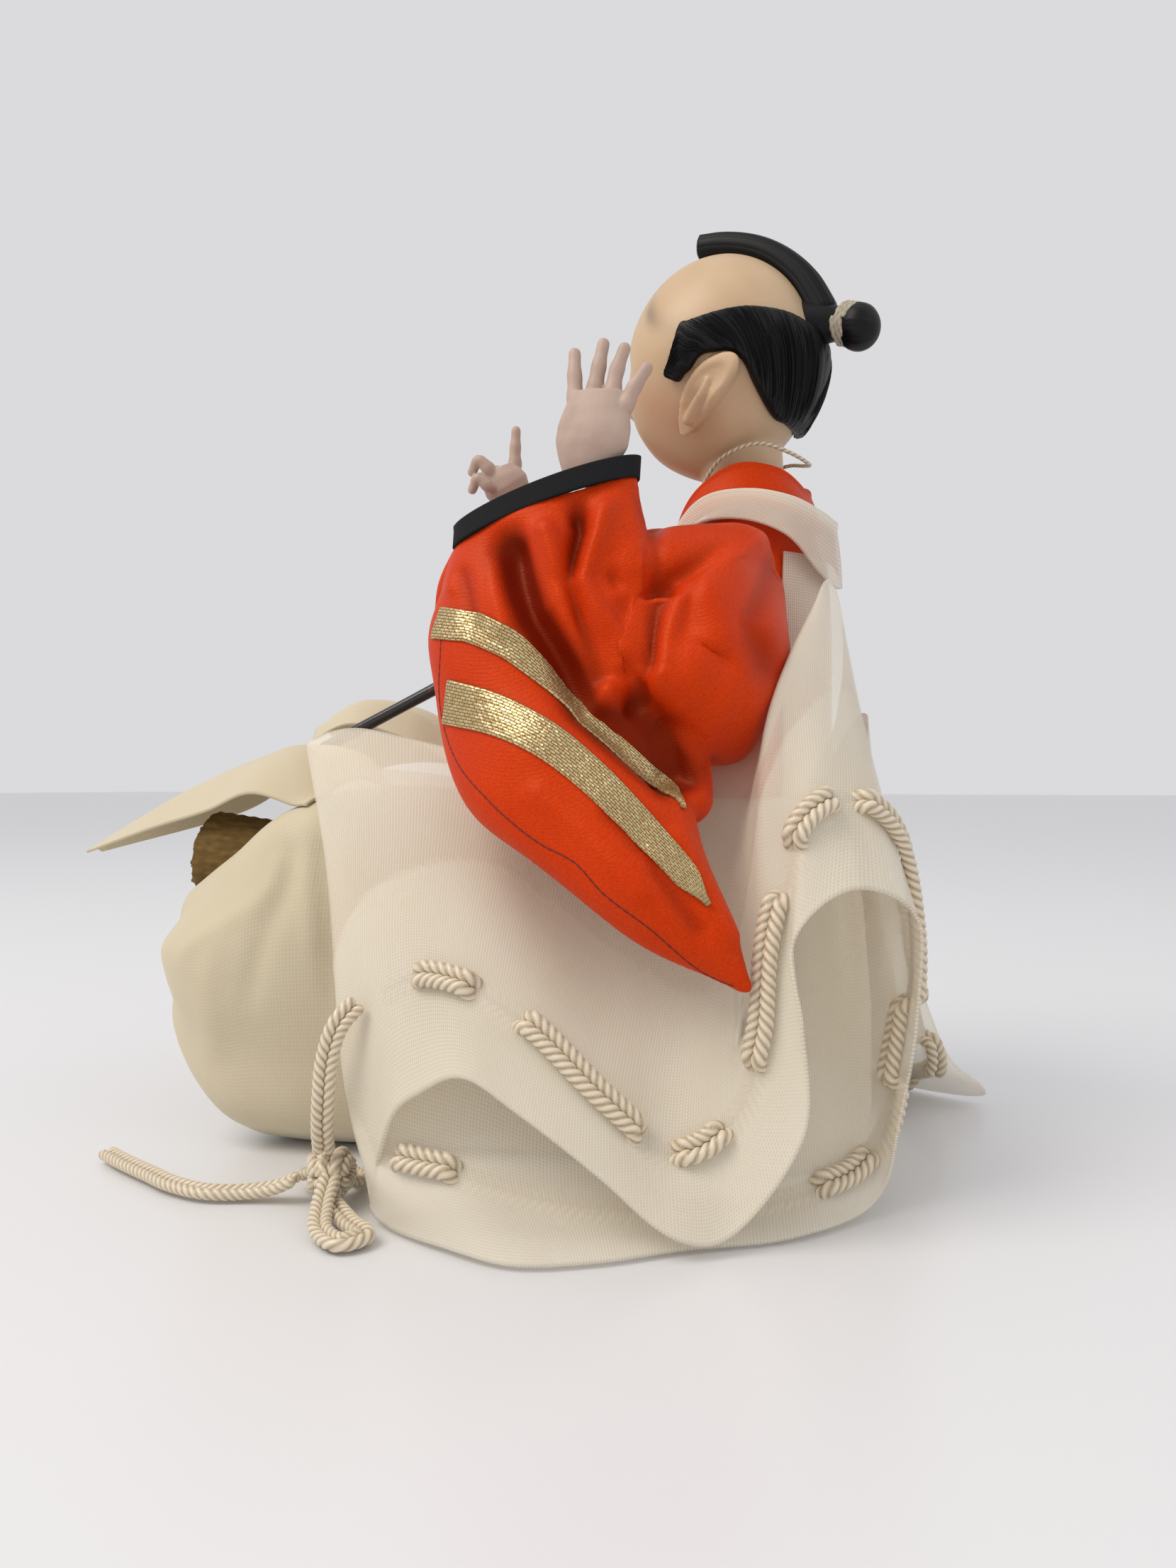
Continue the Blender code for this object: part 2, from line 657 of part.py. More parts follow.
WAIST = 66.0
TRUNK_HALF_WIDTH = 23.0
TRUNK_HALF_DEPTH = 15.2
KIMONO_RINGS = (       # height, shares of the trunk's half width and half depth
    (WAIST, 1.0, 1.0), (80, 1.0, 1.0), (96, 1.0, 1.0), (110, 1.0, 1.0), (119, 0.96, 0.98),
    (126, 0.84, 0.95), (131, 0.68, 0.87), (135, 0.56, 0.80))
SASH_HEIGHT = 9.0
SLEEVE_SLACK = 0.2      # extra air between a sleeve's root and the robe's back
ROBE_WRAP = 45.0       # degrees that the robe's back reaches round to each side
ROBE_TOP = 126.0


def trunk_size(height):
    table = np.array(KIMONO_RINGS)
    return (TRUNK_HALF_WIDTH * np.interp(height, table[:, 0], table[:, 1]),
            TRUNK_HALF_DEPTH * np.interp(height, table[:, 0], table[:, 2]))


def clear_trunk(made):
    """Cuts a sleeve back to the outside of the bodice and of the robe's back."""
    extra = SATIN_WALL / 2 + GAP + SLEEVE_SLACK
    rings = []
    for z, _, _ in KIMONO_RINGS:
        half_x, half_y = trunk_size(z)
        rings.append(ellipse_ring(0, TORSO_CENTRE_Y, half_x + extra, half_y + extra, z, 24))
    rings[-1] = rings[-1] + np.array([0, 0, 5.0])
    made = blend_with(made, loft("trunk", rings, satin()), "DIFFERENCE", "MANIFOLD")
    outer = robe_grid(GAUZE_WALL / 2 + GAP + SLEEVE_SLACK, ROBE_WRAP + 3)
    inner = robe_grid(-TRUNK_HALF_DEPTH / 2, ROBE_WRAP + 3)
    return blend_with(made, between("back", outer, inner, satin()), "DIFFERENCE", "MANIFOLD")


def make_kimono_body():
    """Satin bodice round the straw body, open at the neck and the waist."""
    heights = [z for z, _, _ in KIMONO_RINGS if z not in (80, 96)]
    rings = [ellipse_ring(0, TORSO_CENTRE_Y, *trunk_size(z), z, 24) for z in heights]
    return sheet("kimono_body", np.stack(rings), SATIN_WALL, satin(), around=True)


def make_waist_sash():
    clear = SATIN_WALL / 2 + GAP + COLLAR_WALL / 2
    rings = []
    for z in (WAIST, WAIST + SASH_HEIGHT):
        half_x, half_y = trunk_size(z)
        rings.append(ellipse_ring(0, TORSO_CENTRE_Y, half_x + clear, half_y + clear, z, 24))
    return sheet("waist_sash", np.stack(rings), COLLAR_WALL, cotton(), around=True)


def robe_grid(extra, wrap):
    """Middle of the robe's back, grown by extra and reaching wrap degrees to each side."""
    clear = SATIN_WALL / 2 + GAP + GAUZE_WALL / 2 + extra
    turn = np.radians(np.linspace(-wrap, wrap, 7))
    rows = []
    for z in (WAIST + SASH_HEIGHT + GAP, 96, 110, 119, ROBE_TOP):
        half_x, half_y = trunk_size(z)
        rows.append(np.column_stack([
            (half_x + clear) * np.sin(turn), TORSO_CENTRE_Y + (half_y + clear) * np.cos(turn),
            np.full(len(turn), z)]))
    return np.stack(rows)


def make_robe_body():
    """Gauze back of the robe, from the sash up to the yoke."""
    return sheet("robe_body", robe_grid(0.0, ROBE_WRAP), GAUZE_WALL, gauze())


KIMONO_COLLAR_TOP = ((3.5, -15.6, 110), (9, -13.6, 125), (13, -5.5, 141), (13, 3, 145.3),
                     (9.5, 10, 144.3), (0, 13.8, 140.5))
KIMONO_COLLAR_LOW = ((7.5, -15.7, 106), (13.5, -13.3, 120), (16, -6.5, 133), (16, 3, 136.6),
                     (12, 12.6, 134.6), (0, 16.3, 132.3))
ROBE_COLLAR_TOP = ((7, -17.6, 98), (12, -16.2, 112), (16.4, -12, 127), (18, -3, 137.6), (17, 7, 138.6),
                   (13.5, 14.3, 137.2), (7, 18.4, 135.2), (0, 19.2, 134.6))
ROBE_COLLAR_LOW = ((12, -17.6, 95), (17.5, -15.4, 108), (20.5, -12, 122), (21.8, -4, 131.4),
                   (21.2, 6, 132), (18.4, 14.4, 128.8), (10, 19.2, 122), (0, 20.4, 120))


def make_collar(name, top_half, low_half, wall, finish):
    """Strip round the neck, given by the two edges of its left half from chest to nape."""
    edges = []
    for half in (top_half, low_half):
        left = np.array(half, float)
        edges.append(spline(np.vstack([left, left[-2::-1] * (-1, 1, 1)]), 25))
    return sheet(name, np.stack(edges), wall, finish)


NECK_CORD_PATH = ((0, -10.1, 139.5), (7.6, -7.2, 142.5), (11.5, -1, 147.8), (10.5, 6.5, 150), (6, 12, 148.5),
                  (0, 14.6, 147.2))


def make_neck_cord():
    """Thin covered wire that ties the head's neck, standing off at the nape."""
    left = np.array(NECK_CORD_PATH, float)
    loop = np.vstack([left, left[-2:0:-1] * (-1, 1, 1)])
    closed = spline(np.vstack([loop, loop[:1]]), 27)[:-1]
    heading = np.roll(closed, -1, axis=0) - np.roll(closed, 1, axis=0)
    heading /= np.linalg.norm(heading, axis=1, keepdims=True)
    side = np.cross(heading, (0, 0, 1))
    side /= np.linalg.norm(side, axis=1, keepdims=True)
    rise = np.cross(side, heading)
    sides, count = 6, len(closed)
    turn = np.linspace(0, 2 * math.pi, sides, endpoint=False)
    rings = closed[:, None] + NECK_CORD_RADIUS * (
        np.cos(turn)[None, :, None] * side[:, None] + np.sin(turn)[None, :, None] * rise[:, None])
    faces = []
    for r in range(count):
        m = (r + 1) % count
        for c in range(sides):
            n = (c + 1) % sides
            faces.append((r * sides + c, r * sides + n, m * sides + n, m * sides + c))
    return solid("neck_cord", rings.reshape(-1, 3), faces, cord_silk())


# Trousers

SEAT_PAD_HALF_WIDTH = 31.0
SEAT_PAD_HALF_DEPTH = 25.0
TROUSER_STATIONS = (   # y, centre x, half width, lowest z, highest z
    (-116, 47, 5, 30, 46), (-112, 45.5, 12.5, 20, 54), (-105, 43.5, 17.5, 9, 60), (-97, 42, 20, 2, 66),
    (-86, 40, 20.5, 0.3, 75), (-72, 37, 19.5, 0.3, 78), (-56, 33, 18.5, 0.3, 78), (-40, 28.5, 17, 0.3, 75),
    (-26, 26, 15, 0.3, 70), (-16, 25, 14, 0.3, 64))
LEFT_FLAP = (          # rows from the thigh to the tip, each from the inner to the outer edge
    ((20, -76, 74), (30, -77, 78.5), (40, -78, 78.5), (50, -80, 72)),
    ((20, -88, 85), (29, -90, 86.5), (40, -92, 85), (52, -94, 76)),
    ((20.5, -100, 84.4), (30, -102, 84.5), (41, -104, 82), (53, -106, 72)),
    ((27, -116, 72), (36, -118, 76.5), (45, -119, 76), (54, -121, 68)),
    ((52.5, -137, 62.5), (53.5, -137.5, 63.2), (54.5, -138, 63.2), (55.5, -138.5, 62.5)))
RIGHT_FLAP = (
    ((-20, -76, 74), (-30, -77, 78.5), (-40, -78, 78.5), (-50, -80, 72)),
    ((-18, -88, 84), (-27, -90, 90), (-36, -91, 89), (-46, -92, 80)),
    ((-13, -98, 90), (-22, -100, 98), (-33, -101, 95), (-44, -103, 84)),
    ((-9, -112, 94), (-18, -114, 101), (-29, -115, 96), (-40, -117, 84)),
    ((-8, -124, 90), (-14, -126, 93.5), (-24, -127, 89), (-33, -128, 80)))
FLAP_WALL = 0.8


def make_trouser_seat():
    """Padded cloth round the hips, hollow for the straw body and the block."""
    sides = 24
    heights = (HEM_LIFT, 8.0, 30.0, 52.0, WAIST - GAP)
    swells = (0.94, 1.0, 1.0, 0.92, 0.82)
    outer = np.stack([
        ellipse_ring(0, TORSO_CENTRE_Y, SEAT_PAD_HALF_WIDTH * w, SEAT_PAD_HALF_DEPTH * w, z, sides)
        for z, w in zip(heights, swells)])
    made = loft("trouser_seat", outer, cotton())
    block = loft("block", [
        ellipse_ring(0, TORSO_CENTRE_Y, SEAT_WIDTH / 2 + GAP, SEAT_DEPTH / 2 + GAP, z, 20, 0.5)
        for z in (-5, SEAT_HEIGHT + GAP)], wood())
    made = blend_with(made, block, "DIFFERENCE")
    core = loft("core", torso_rings(GAP, 20, np.linspace(SEAT_HEIGHT - 2, WAIST + 6, 5)), straw())
    return blend_with(made, core, "DIFFERENCE")


def make_trouser_leg(prefix, side):
    """Padded cloth below and round the straw roll, drooping to the table in front."""
    turn = np.linspace(0, 2 * math.pi, 18, endpoint=False)
    stations = spline(TROUSER_STATIONS, 11)
    rings = []
    for y, x, half, low, high in stations:
        low = max(low, HEM_LIFT)
        middle, tall = (low + high) / 2, (high - low) / 2
        rings.append(np.column_stack([
            side * (x + half * np.sign(np.cos(turn)) * np.abs(np.cos(turn)) ** 0.8),
            np.full(18, y), middle + tall * np.sign(np.sin(turn)) * np.abs(np.sin(turn)) ** 0.8]))
    made = loft(prefix + "_trouser_leg", rings, cotton())
    start, end = leg_core_path(side)[0], leg_core_path(side)[-1]
    reach = (end - start) / np.linalg.norm(end - start)
    core = rod("core", [start - reach * 20, end, end + reach * 20], LEG_CORE_RADIUS + GAP, 20, straw())
    made = blend_with(made, core, "DIFFERENCE")
    seat = loft("seat", [
        ellipse_ring(0, TORSO_CENTRE_Y, SEAT_PAD_HALF_WIDTH + GAP, SEAT_PAD_HALF_DEPTH + GAP, z, 24)
        for z in (-5, 100)], cotton())
    return blend_with(made, seat, "DIFFERENCE")


def make_flap(prefix, rows, carriers):
    """Front of a trouser leg, stiffened and pointing forward over the straw roll."""
    grid = lay_clear(net(rows, 8, 8), carriers, GAP + FLAP_WALL / 2 + 0.2)
    return sheet(prefix + "_front_flap", grid, FLAP_WALL, cotton())


# Gauze sleeves: rows from the waist to the mouth; columns run over the top and back underneath

GAUZE_ROWS = (
    ((46, -84, 86.5), (43, -74, 90), (41, -58, 87), (38, -40, 83), (35, -22, 81), (31.5, -6, 80), (29.5, 7, 85),
     (27, 15, 93), (25, 19.5, 104), (22.8, 22, 114), (20, 23.2, 118.5), (17, 24.2, 117.5), (15.2, 25.2, 112),
     (14.2, 25.4, 105), (14.2, 24.8, 97), (17, 22.8, 86), (24, 16.5, 76), (29, -3, 73.5), (33, -20, 75),
     (35.5, -38, 77), (38, -56, 80), (41, -73, 82)),
    ((60, -68, 61), (58, -61, 69), (56, -49, 71), (54, -34, 66), (51, -21, 56), (48, -7, 46), (46, 5, 47),
     (44, 12, 62), (43.5, 16, 79), (42, 18.5, 92), (36, 23, 99), (28, 28, 98), (24, 31, 91),
     (22, 32.5, 81), (22, 31.5, 66), (25, 28, 44), (37, 19, 32), (45, 2, 33), (50, -14, 39),
     (54, -31, 50), (57, -47, 57), (59, -60, 58)),
    ((74, -54, 31), (72, -51, 43), (70, -41, 49), (70, -29, 47), (69, -16, 40), (67, -4, 28), (62, 7, 20),
     (57, 15, 26), (55, 19.5, 42), (53, 21.5, 61), (47, 27, 78), (39, 33, 80), (33, 38, 71),
     (30, 40.5, 55), (30, 39, 35), (33, 34, 14), (46, 23, 8), (58, 7, 8), (67, -8, 10),
     (73, -26, 15), (76, -40, 18), (76, -50, 21)),
    ((79, -44, 4), (82, -38, 19), (82, -32, 25), (81, -24, 28), (80, -14, 23), (77, 0, 13), (74, 12, 4),
     (67, 20, 4), (61, 30, 20), (60, 29, 37), (60, 28, 52), (52, 36, 60), (41, 45, 54),
     (38, 44, 37), (37, 41, 17), (40, 37, 3), (57, 27, 1), (70, 12, 1), (81, 1, 1),
     (88, -11, 1), (86, -25, 1), (82, -38, 1)))
RIGHT_REAR = {         # columns of the right sleeve that lie lower behind, x already mirrored
    7: ((-25, 13, 84), (-44, 11, 52), (-56, 14, 24), (-67, 18, 4)),
    8: ((-24.5, 17, 90), (-44, 14, 60), (-55, 15, 34), (-62, 22, 16)),
    9: ((-23, 20.5, 94), (-42, 16, 68), (-53, 17, 46), (-60, 21, 28)),
    10: ((-20, 22.5, 94), (-36, 20, 72), (-47, 20, 54), (-59, 22, 38)),
    11: ((-17, 23.6, 93), (-29, 23, 70), (-39, 24, 52), (-52, 27, 40)),
    12: ((-15, 24, 90), (-25, 25, 66), (-34, 27, 48), (-42, 31, 34)),
    13: ((-14, 24, 86), (-23, 26.5, 58), (-31, 29, 38), (-39, 33, 24)),
    14: ((-14, 23, 80), (-22, 27, 48), (-31, 31, 26), (-42, 38, 12)),
    15: ((-16, 21.5, 74), (-25, 26, 36), (-34, 32, 14), (-49, 45, 3)),
}
LACING_ROW = 6           # row of the cloth grid, from the waist, that the lacing follows
GAUZE_GRID = (40, 9)     # columns round the sleeve and rows from waist to mouth
UPPER_STITCHES = ((2.1, 3.1), (3.9, 5.5), (6.1, 6.9), (7.7, 9.2), (9.7, 10.5), (11.1, 13.0))
UNDER_STITCHES = ((13.6, 14.3), (15.0, 15.7), (19.3, 20.1))
UNDERSIDE_START = 12.9 # column where the cloth turns under; from there the cord lies outside it
LACING_END = 20.6
LACING_START = 1.3
LACING_POINTS = 72


def gauze_net(side):
    rows = np.array(GAUZE_ROWS, float) * (side, 1, 1)
    if side < 0:
        for column, places in RIGHT_REAR.items():
            rows[:, column] = places
    return np.concatenate([rows, rows[:, :1]], axis=1)


def gauze_grid(side, across, along):
    """Closed cloth grid; the first column isn't repeated at the end."""
    rows = gauze_net(side)
    wrapped = np.concatenate([rows[:, -4:-1], rows, rows[:, 1:4]], axis=1)
    columns = np.arange(-3, rows.shape[1] + 3, dtype=float)
    samples = np.linspace(0, rows.shape[1] - 1, across, endpoint=False)
    wide = np.stack([hermite(row, columns, samples) for row in wrapped])
    lines = np.arange(len(rows), dtype=float)
    return np.stack([
        hermite(wide[:, i], lines, np.linspace(0, lines[-1], along)) for i in range(across)], axis=1)


def lacing_route(grid, count):
    """Cord over and under the cloth: points, the way off the cloth, and where it goes through."""
    columns = grid.shape[1]
    normals = grid_normals(grid, True)
    centre = grid.reshape(-1, 3).mean(axis=0)
    if np.mean(np.sum(normals * (grid - centre), axis=2)) < 0:
        normals = -normals
    ring, lift = grid[LACING_ROW], normals[LACING_ROW]
    period = len(GAUZE_ROWS[0])
    at = np.linspace(LACING_START, LACING_END, count)
    index = at / period * columns
    a, f = np.floor(index).astype(int), (index - np.floor(index))[:, None]
    places = ring[a % columns] * (1 - f) + ring[(a + 1) % columns] * f
    out = lift[a % columns] * (1 - f) + lift[(a + 1) % columns] * f
    out /= np.linalg.norm(out, axis=1, keepdims=True)
    over = np.where(at < UNDERSIDE_START, -1.0, 1.0)
    for first, last in UPPER_STITCHES:
        over[(at >= first) & (at <= last)] = 1.0
    for first, last in UNDER_STITCHES:
        over[(at >= first) & (at <= last)] = -1.0
    reach = CORD_RADIUS + GAUZE_WALL / 2 + GAP + LACING_SLACK
    return places + out * over[:, None] * reach, out * over[:, None], np.flatnonzero(np.diff(over))


def ease_off(route, sides, crossings, grid, carriers):
    """Moves the spans of a cord that lie too close to the cloth, or to a carrier, off it."""
    rows, columns = grid.shape[:2]
    quads = [(r * columns + c, r * columns + (c + 1) % columns,
              (r + 1) * columns + (c + 1) % columns, (r + 1) * columns + c)
             for r in range(rows - 1) for c in range(columns)]
    cloth = BVHTree.FromPolygons([Vector(p) for p in grid.reshape(-1, 3)], quads)
    solids = [surface_of(carrier) for carrier in carriers]
    route = route.copy()
    for _ in range(EASE_ROUNDS):
        for i in range(len(route) - 1):
            if i in crossings:
                continue
            for share in (0.0, 0.25, 0.5, 0.75):
                spot = Vector(route[i] * (1 - share) + route[i + 1] * share)
                side = Vector(sides[i] * (1 - share) + sides[i + 1] * share)
                near = cloth.find_nearest(spot)[0]
                away = spot - near
                depth = away.length if away.dot(side) > 0 else -away.length
                short = CORD_RADIUS + GAUZE_WALL / 2 + GAP + EASE_MARGIN - depth
                push = (away.normalized() if depth > 0 else side.normalized()) * max(short, 0.0)
                for tree in solids:
                    near = tree.find_nearest(spot * MM)[0] / MM
                    short = CORD_RADIUS + GAP + EASE_MARGIN - (spot - near).length
                    push += (spot - near).normalized() * max(short, 0.0)
                route[i] += np.array(push) * (1 - share) * 0.6
                route[i + 1] += np.array(push) * share * 0.6
    return route


EASE_ROUNDS = 40
EASE_MARGIN = 0.15
DRAPE_SLACK = 1.0      # extra air where flat facets of cloth span a round carrier
LACING_SLACK = 0.5     # extra air where the cloth bends between stitches


def make_gauze_sleeve(prefix, side, carriers):
    """Wide sleeve of sheer gauze with its lacing run through it near the mouth."""
    grid = lay_clear(gauze_grid(side, *GAUZE_GRID), carriers, GAP + GAUZE_WALL / 2 + DRAPE_SLACK)
    made = sheet(prefix + "_robe_sleeve", grid, GAUZE_WALL, gauze(), around=True)
    route, sides, crossings = lacing_route(grid, LACING_POINTS)
    route = ease_off(route, sides, crossings, grid, carriers)
    for i in crossings:
        middle = route[i:i + 2].mean(axis=0)
        reach = (route[i:i + 2] - middle) * 1.25
        hole = rod("hole", middle + reach, CORD_RADIUS + GAP * 2, 8, gauze())
        made = blend_with(made, hole, "DIFFERENCE", "MANIFOLD")
    lacing = cord(prefix + "_sleeve_lacing", route, CORD_RADIUS, cord_silk())
    return made, lacing


# Lacing's free end: it hangs to a bow knot on the table, with one tail

DROP_PATH = ((76.5, -48.5, 38.5), (79.5, -50.5, 35), (81, -52, 29), (81.5, -52.5, 22), (80.3, -53.6, 15.5),
             (78.1, -54.9, 10.7))
KNOT_CENTRE = (75.5, -56.5, 6.2)
KNOT_RADII = (5.0, 5.2, 4.9)
KNOT_LOOPS = (
    ((74, -59, 6), (70.5, -64.5, 3.4), (66, -65, 2.4), (63, -61, 2.0), (65, -56.5, 2.2), (73, -55.5, 4)),
    ((77, -54, 7), (84.5, -50.5, 3.6), (91, -45.5, 2.0), (93, -40, 1.9), (89.5, -38.5, 1.9),
     (85, -44.5, 1.9), (78, -55, 3)))
TAIL_PATH = ((77.2, -61.7, 5.0), (77.8, -65.5, 3.1), (80, -71.5, 1.9), (83, -78, 1.9), (82.6, -86, 1.9),
             (79.5, -96, 1.9), (76.5, -105, 1.9), (73, -114, 1.9))


def make_free_cord():
    """Drop, knot and tail as three solids that meet a gap apart."""
    cord("left_cord_drop", spline(DROP_PATH, 12), CORD_RADIUS, cord_silk())
    cord("left_cord_tail", spline(TAIL_PATH, 18), CORD_RADIUS, cord_silk())
    turns = np.radians(np.linspace(-80, 80, 6))
    rings = [ellipse_ring(0, 0, KNOT_RADII[0] * math.cos(t), KNOT_RADII[1] * math.cos(t),
                          KNOT_RADII[2] * math.sin(t), 10) + np.array(KNOT_CENTRE) for t in turns]
    knot = loft("left_cord_knot", rings, cord_silk())
    for loop in KNOT_LOOPS:
        knot = blend_with(knot, rod("loop", spline(loop, 11), CORD_RADIUS, 7, cord_silk()), "UNION")
    return knot


STICK_PATH = ((12, -60, 106), (15.5, -80, 96.3), (19, -100, 86.6))


def make_stick():
    """Black lacquered stick slanting in the lap; its upper end is behind the sleeve."""
    return rod("lacquer_stick", spline(STICK_PATH, 6), STICK_RADIUS, 10, lacquer())


def build():
    for old in list(bpy.data.objects):
        bpy.data.objects.remove(old)
    make_seat_block()
    make_torso_core()
    make_neck_peg()
    make_head()
    make_side_hair()
    make_topknot()
    make_tie()
    make_hand("left_hand", spline(LEFT_PALM, 6), LEFT_FINGERS, (4.6, 5.0, 6.2, 7.4, 6.6, 4.6), 0.5)
    make_hand("right_hand", spline(RIGHT_PALM, 6), RIGHT_FINGERS, (4.6, 4.8, 5.6, 6.2, 5.6, 4.0), 0.62)
    make_kimono_body()
    make_waist_sash()
    robe = make_robe_body()
    make_collar("kimono_collar", KIMONO_COLLAR_TOP, KIMONO_COLLAR_LOW, COLLAR_WALL, satin())
    make_collar("robe_collar", ROBE_COLLAR_TOP, ROBE_COLLAR_LOW, GAUZE_WALL, gauze())
    make_neck_cord()
    seat = make_trouser_seat()
    make_stick()
    make_free_cord()
    for prefix, side, edges, arm, radii, wires, flap in (
            ("left", 1, LEFT_BAG, LEFT_ARM, LEFT_ARM_RADII, LEFT_WIRE, LEFT_FLAP),
            ("right", -1, RIGHT_BAG, RIGHT_ARM, RIGHT_ARM_RADII, RIGHT_WIRE, RIGHT_FLAP)):
        core = make_leg_core(prefix, side)
        leg = make_trouser_leg(prefix, side)
        make_flap(prefix, flap, [leg, core])
        sleeve = make_kimono_sleeve(prefix, edges, arm, radii, wires)
        make_arm_wire(prefix, wires)
        make_cuff(prefix, edges)
        make_braid(prefix + "_upper_braid", edges, UPPER_BRAID, UPPER_BRAID_WIDTH)
        make_braid(prefix + "_lower_braid", edges, LOWER_BRAID, LOWER_BRAID_WIDTH)
        make_gauze_sleeve(prefix, side, [seat, leg, robe, sleeve])


build()
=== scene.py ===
# Seated hina attendant: gofun head, silk hair, padded satin sleeves and a laced gauze robe.
# The doll faces -Y, its left is +X, the table is z = 0; sizes below are in millimetres.

import math

import bpy
import numpy as np
from mathutils import Matrix, Vector
from mathutils.bvhtree import BVHTree


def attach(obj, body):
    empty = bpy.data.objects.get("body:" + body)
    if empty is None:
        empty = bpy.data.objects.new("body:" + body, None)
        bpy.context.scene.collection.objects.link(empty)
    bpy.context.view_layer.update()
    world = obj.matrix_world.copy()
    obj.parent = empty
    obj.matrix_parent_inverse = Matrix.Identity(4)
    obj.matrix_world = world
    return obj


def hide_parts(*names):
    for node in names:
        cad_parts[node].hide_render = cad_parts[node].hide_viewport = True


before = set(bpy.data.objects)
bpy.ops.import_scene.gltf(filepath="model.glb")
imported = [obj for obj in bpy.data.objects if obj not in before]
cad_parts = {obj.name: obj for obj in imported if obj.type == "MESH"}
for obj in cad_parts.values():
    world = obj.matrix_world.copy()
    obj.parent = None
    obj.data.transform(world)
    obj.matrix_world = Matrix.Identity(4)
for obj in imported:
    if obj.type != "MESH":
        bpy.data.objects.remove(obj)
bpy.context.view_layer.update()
mm = 0.001
print("frame loaded")

# The photograph's camera: level, at the doll's left and a little behind it

view = {"place": (259.3, 82.7, 78.0), "ahead": (-0.9063, -0.4226, 0.0), "right": (-0.4226, 0.9063, 0.0),
        "pixels": 1720.0, "middle": (829.5, 1106.0), "frameHeight": 2212.0}


def makeCamera():
    data = bpy.data.cameras.new("photo_camera")
    data.sensor_width = 36.0
    data.lens = view["pixels"] / view["frameHeight"] * 36.0
    data.clip_start = 0.005
    camera = bpy.data.objects.new("photo_camera", data)
    ahead, right = np.array(view["ahead"]), np.array(view["right"])
    turned = np.eye(4)
    turned[:3, 0], turned[:3, 1], turned[:3, 2] = right, (0, 0, 1), -ahead
    turned[:3, 3] = np.array(view["place"]) * mm
    camera.matrix_world = Matrix(turned.tolist())
    bpy.context.scene.collection.objects.link(camera)
    bpy.context.scene.camera = camera


def toPhoto(points):
    # Where points show in the photograph's frame: offset over depth, times the focal length in pixels
    away = points - np.array(view["place"])
    depth = away @ np.array(view["ahead"])
    across = away @ np.array(view["right"])
    return np.column_stack([view["middle"][0] + view["pixels"] * across / depth,
                            view["middle"][1] - view["pixels"] * away[:, 2] / depth])


makeCamera()

# Curves and grids


def hermite(points, knots, samples):
    # Cubic through points at the knots, each slope taken from the neighbours on both sides
    slopes = np.gradient(points, knots, axis=0)
    index = np.clip(np.searchsorted(knots, samples, side="right") - 1, 0, len(knots) - 2)
    span = (knots[index + 1] - knots[index])[:, None]
    t = (samples - knots[index])[:, None] / span
    a, b = points[index], points[index + 1]
    ma, mb = slopes[index] * span, slopes[index + 1] * span
    return ((2 * t**3 - 3 * t**2 + 1) * a + (t**3 - 2 * t**2 + t) * ma
            + (3 * t**2 - 2 * t**3) * b + (t**3 - t**2) * mb)


def smoothCurve(points, count):
    # Points spread evenly by length along a smooth curve through the given ones
    points = np.array(points, float)
    knots = runLength(points)
    dense = hermite(points, knots, np.linspace(0, knots[-1], count * 6))
    return evenly(dense, count)


def evenly(path, count):
    run = runLength(path)
    at = np.linspace(0, run[-1], count)
    return np.stack([np.interp(at, run, path[:, k]) for k in range(path.shape[1])], axis=1)


def runLength(path):
    return np.concatenate([[0.0], np.cumsum(np.linalg.norm(np.diff(path, axis=0), axis=1))])


def smoothNet(rows, across, along):
    # Smooth grid through rows of control points, each row with as many points
    rows = np.array(rows, float)
    columns = np.arange(rows.shape[1], dtype=float)
    wide = np.stack([hermite(row, columns, np.linspace(0, columns[-1], across)) for row in rows])
    lines = np.arange(rows.shape[0], dtype=float)
    at = np.linspace(0, lines[-1], along)
    return np.stack([hermite(wide[:, i], lines, at) for i in range(across)], axis=1)


def unit(vectors):
    return vectors / np.maximum(np.linalg.norm(vectors, axis=-1, keepdims=True), 1e-9)


def gridNormals(grid, around=False):
    along = np.gradient(grid, axis=0)
    across = np.roll(grid, -1, axis=1) - np.roll(grid, 1, axis=1) if around else np.gradient(grid, axis=1)
    return unit(np.cross(along, across))


def smoothStep(value, low, high):
    t = np.clip((value - low) / (high - low), 0, 1)
    return t * t * (3 - 2 * t)


# Meshes


def makeMesh(name, points, quads, triangles=None, uv=None):
    # uv holds two millimetre values for each corner of each quad; corners of triangles get none
    quads = np.array(quads, dtype=np.int32).reshape(-1, 4)
    triangles = np.zeros((0, 3), np.int32) if triangles is None else np.array(triangles, np.int32)
    points = np.array(points, float) * mm
    mesh = bpy.data.meshes.new(name)
    mesh.vertices.add(len(points))
    mesh.vertices.foreach_set("co", points.ravel())
    corners = np.concatenate([quads.ravel(), triangles.ravel()]).astype(np.int32)
    mesh.loops.add(len(corners))
    mesh.loops.foreach_set("vertex_index", corners)
    sizes = np.concatenate([np.full(len(quads), 4), np.full(len(triangles), 3)])
    mesh.polygons.add(len(sizes))
    mesh.polygons.foreach_set("loop_start", np.concatenate([[0], np.cumsum(sizes)[:-1]]).astype(np.int32))
    mesh.polygons.foreach_set("use_smooth", np.ones(len(sizes), bool))
    mesh.update(calc_edges=True)
    mesh.validate()
    if uv is not None:
        layer = mesh.uv_layers.new(name="cloth")
        values = np.zeros((len(corners), 2))
        values[:quads.size] = np.array(uv, float).reshape(-1, 2)
        layer.data.foreach_set("uv", values.ravel())
    made = bpy.data.objects.new(name, mesh)
    bpy.context.scene.collection.objects.link(made)
    return made


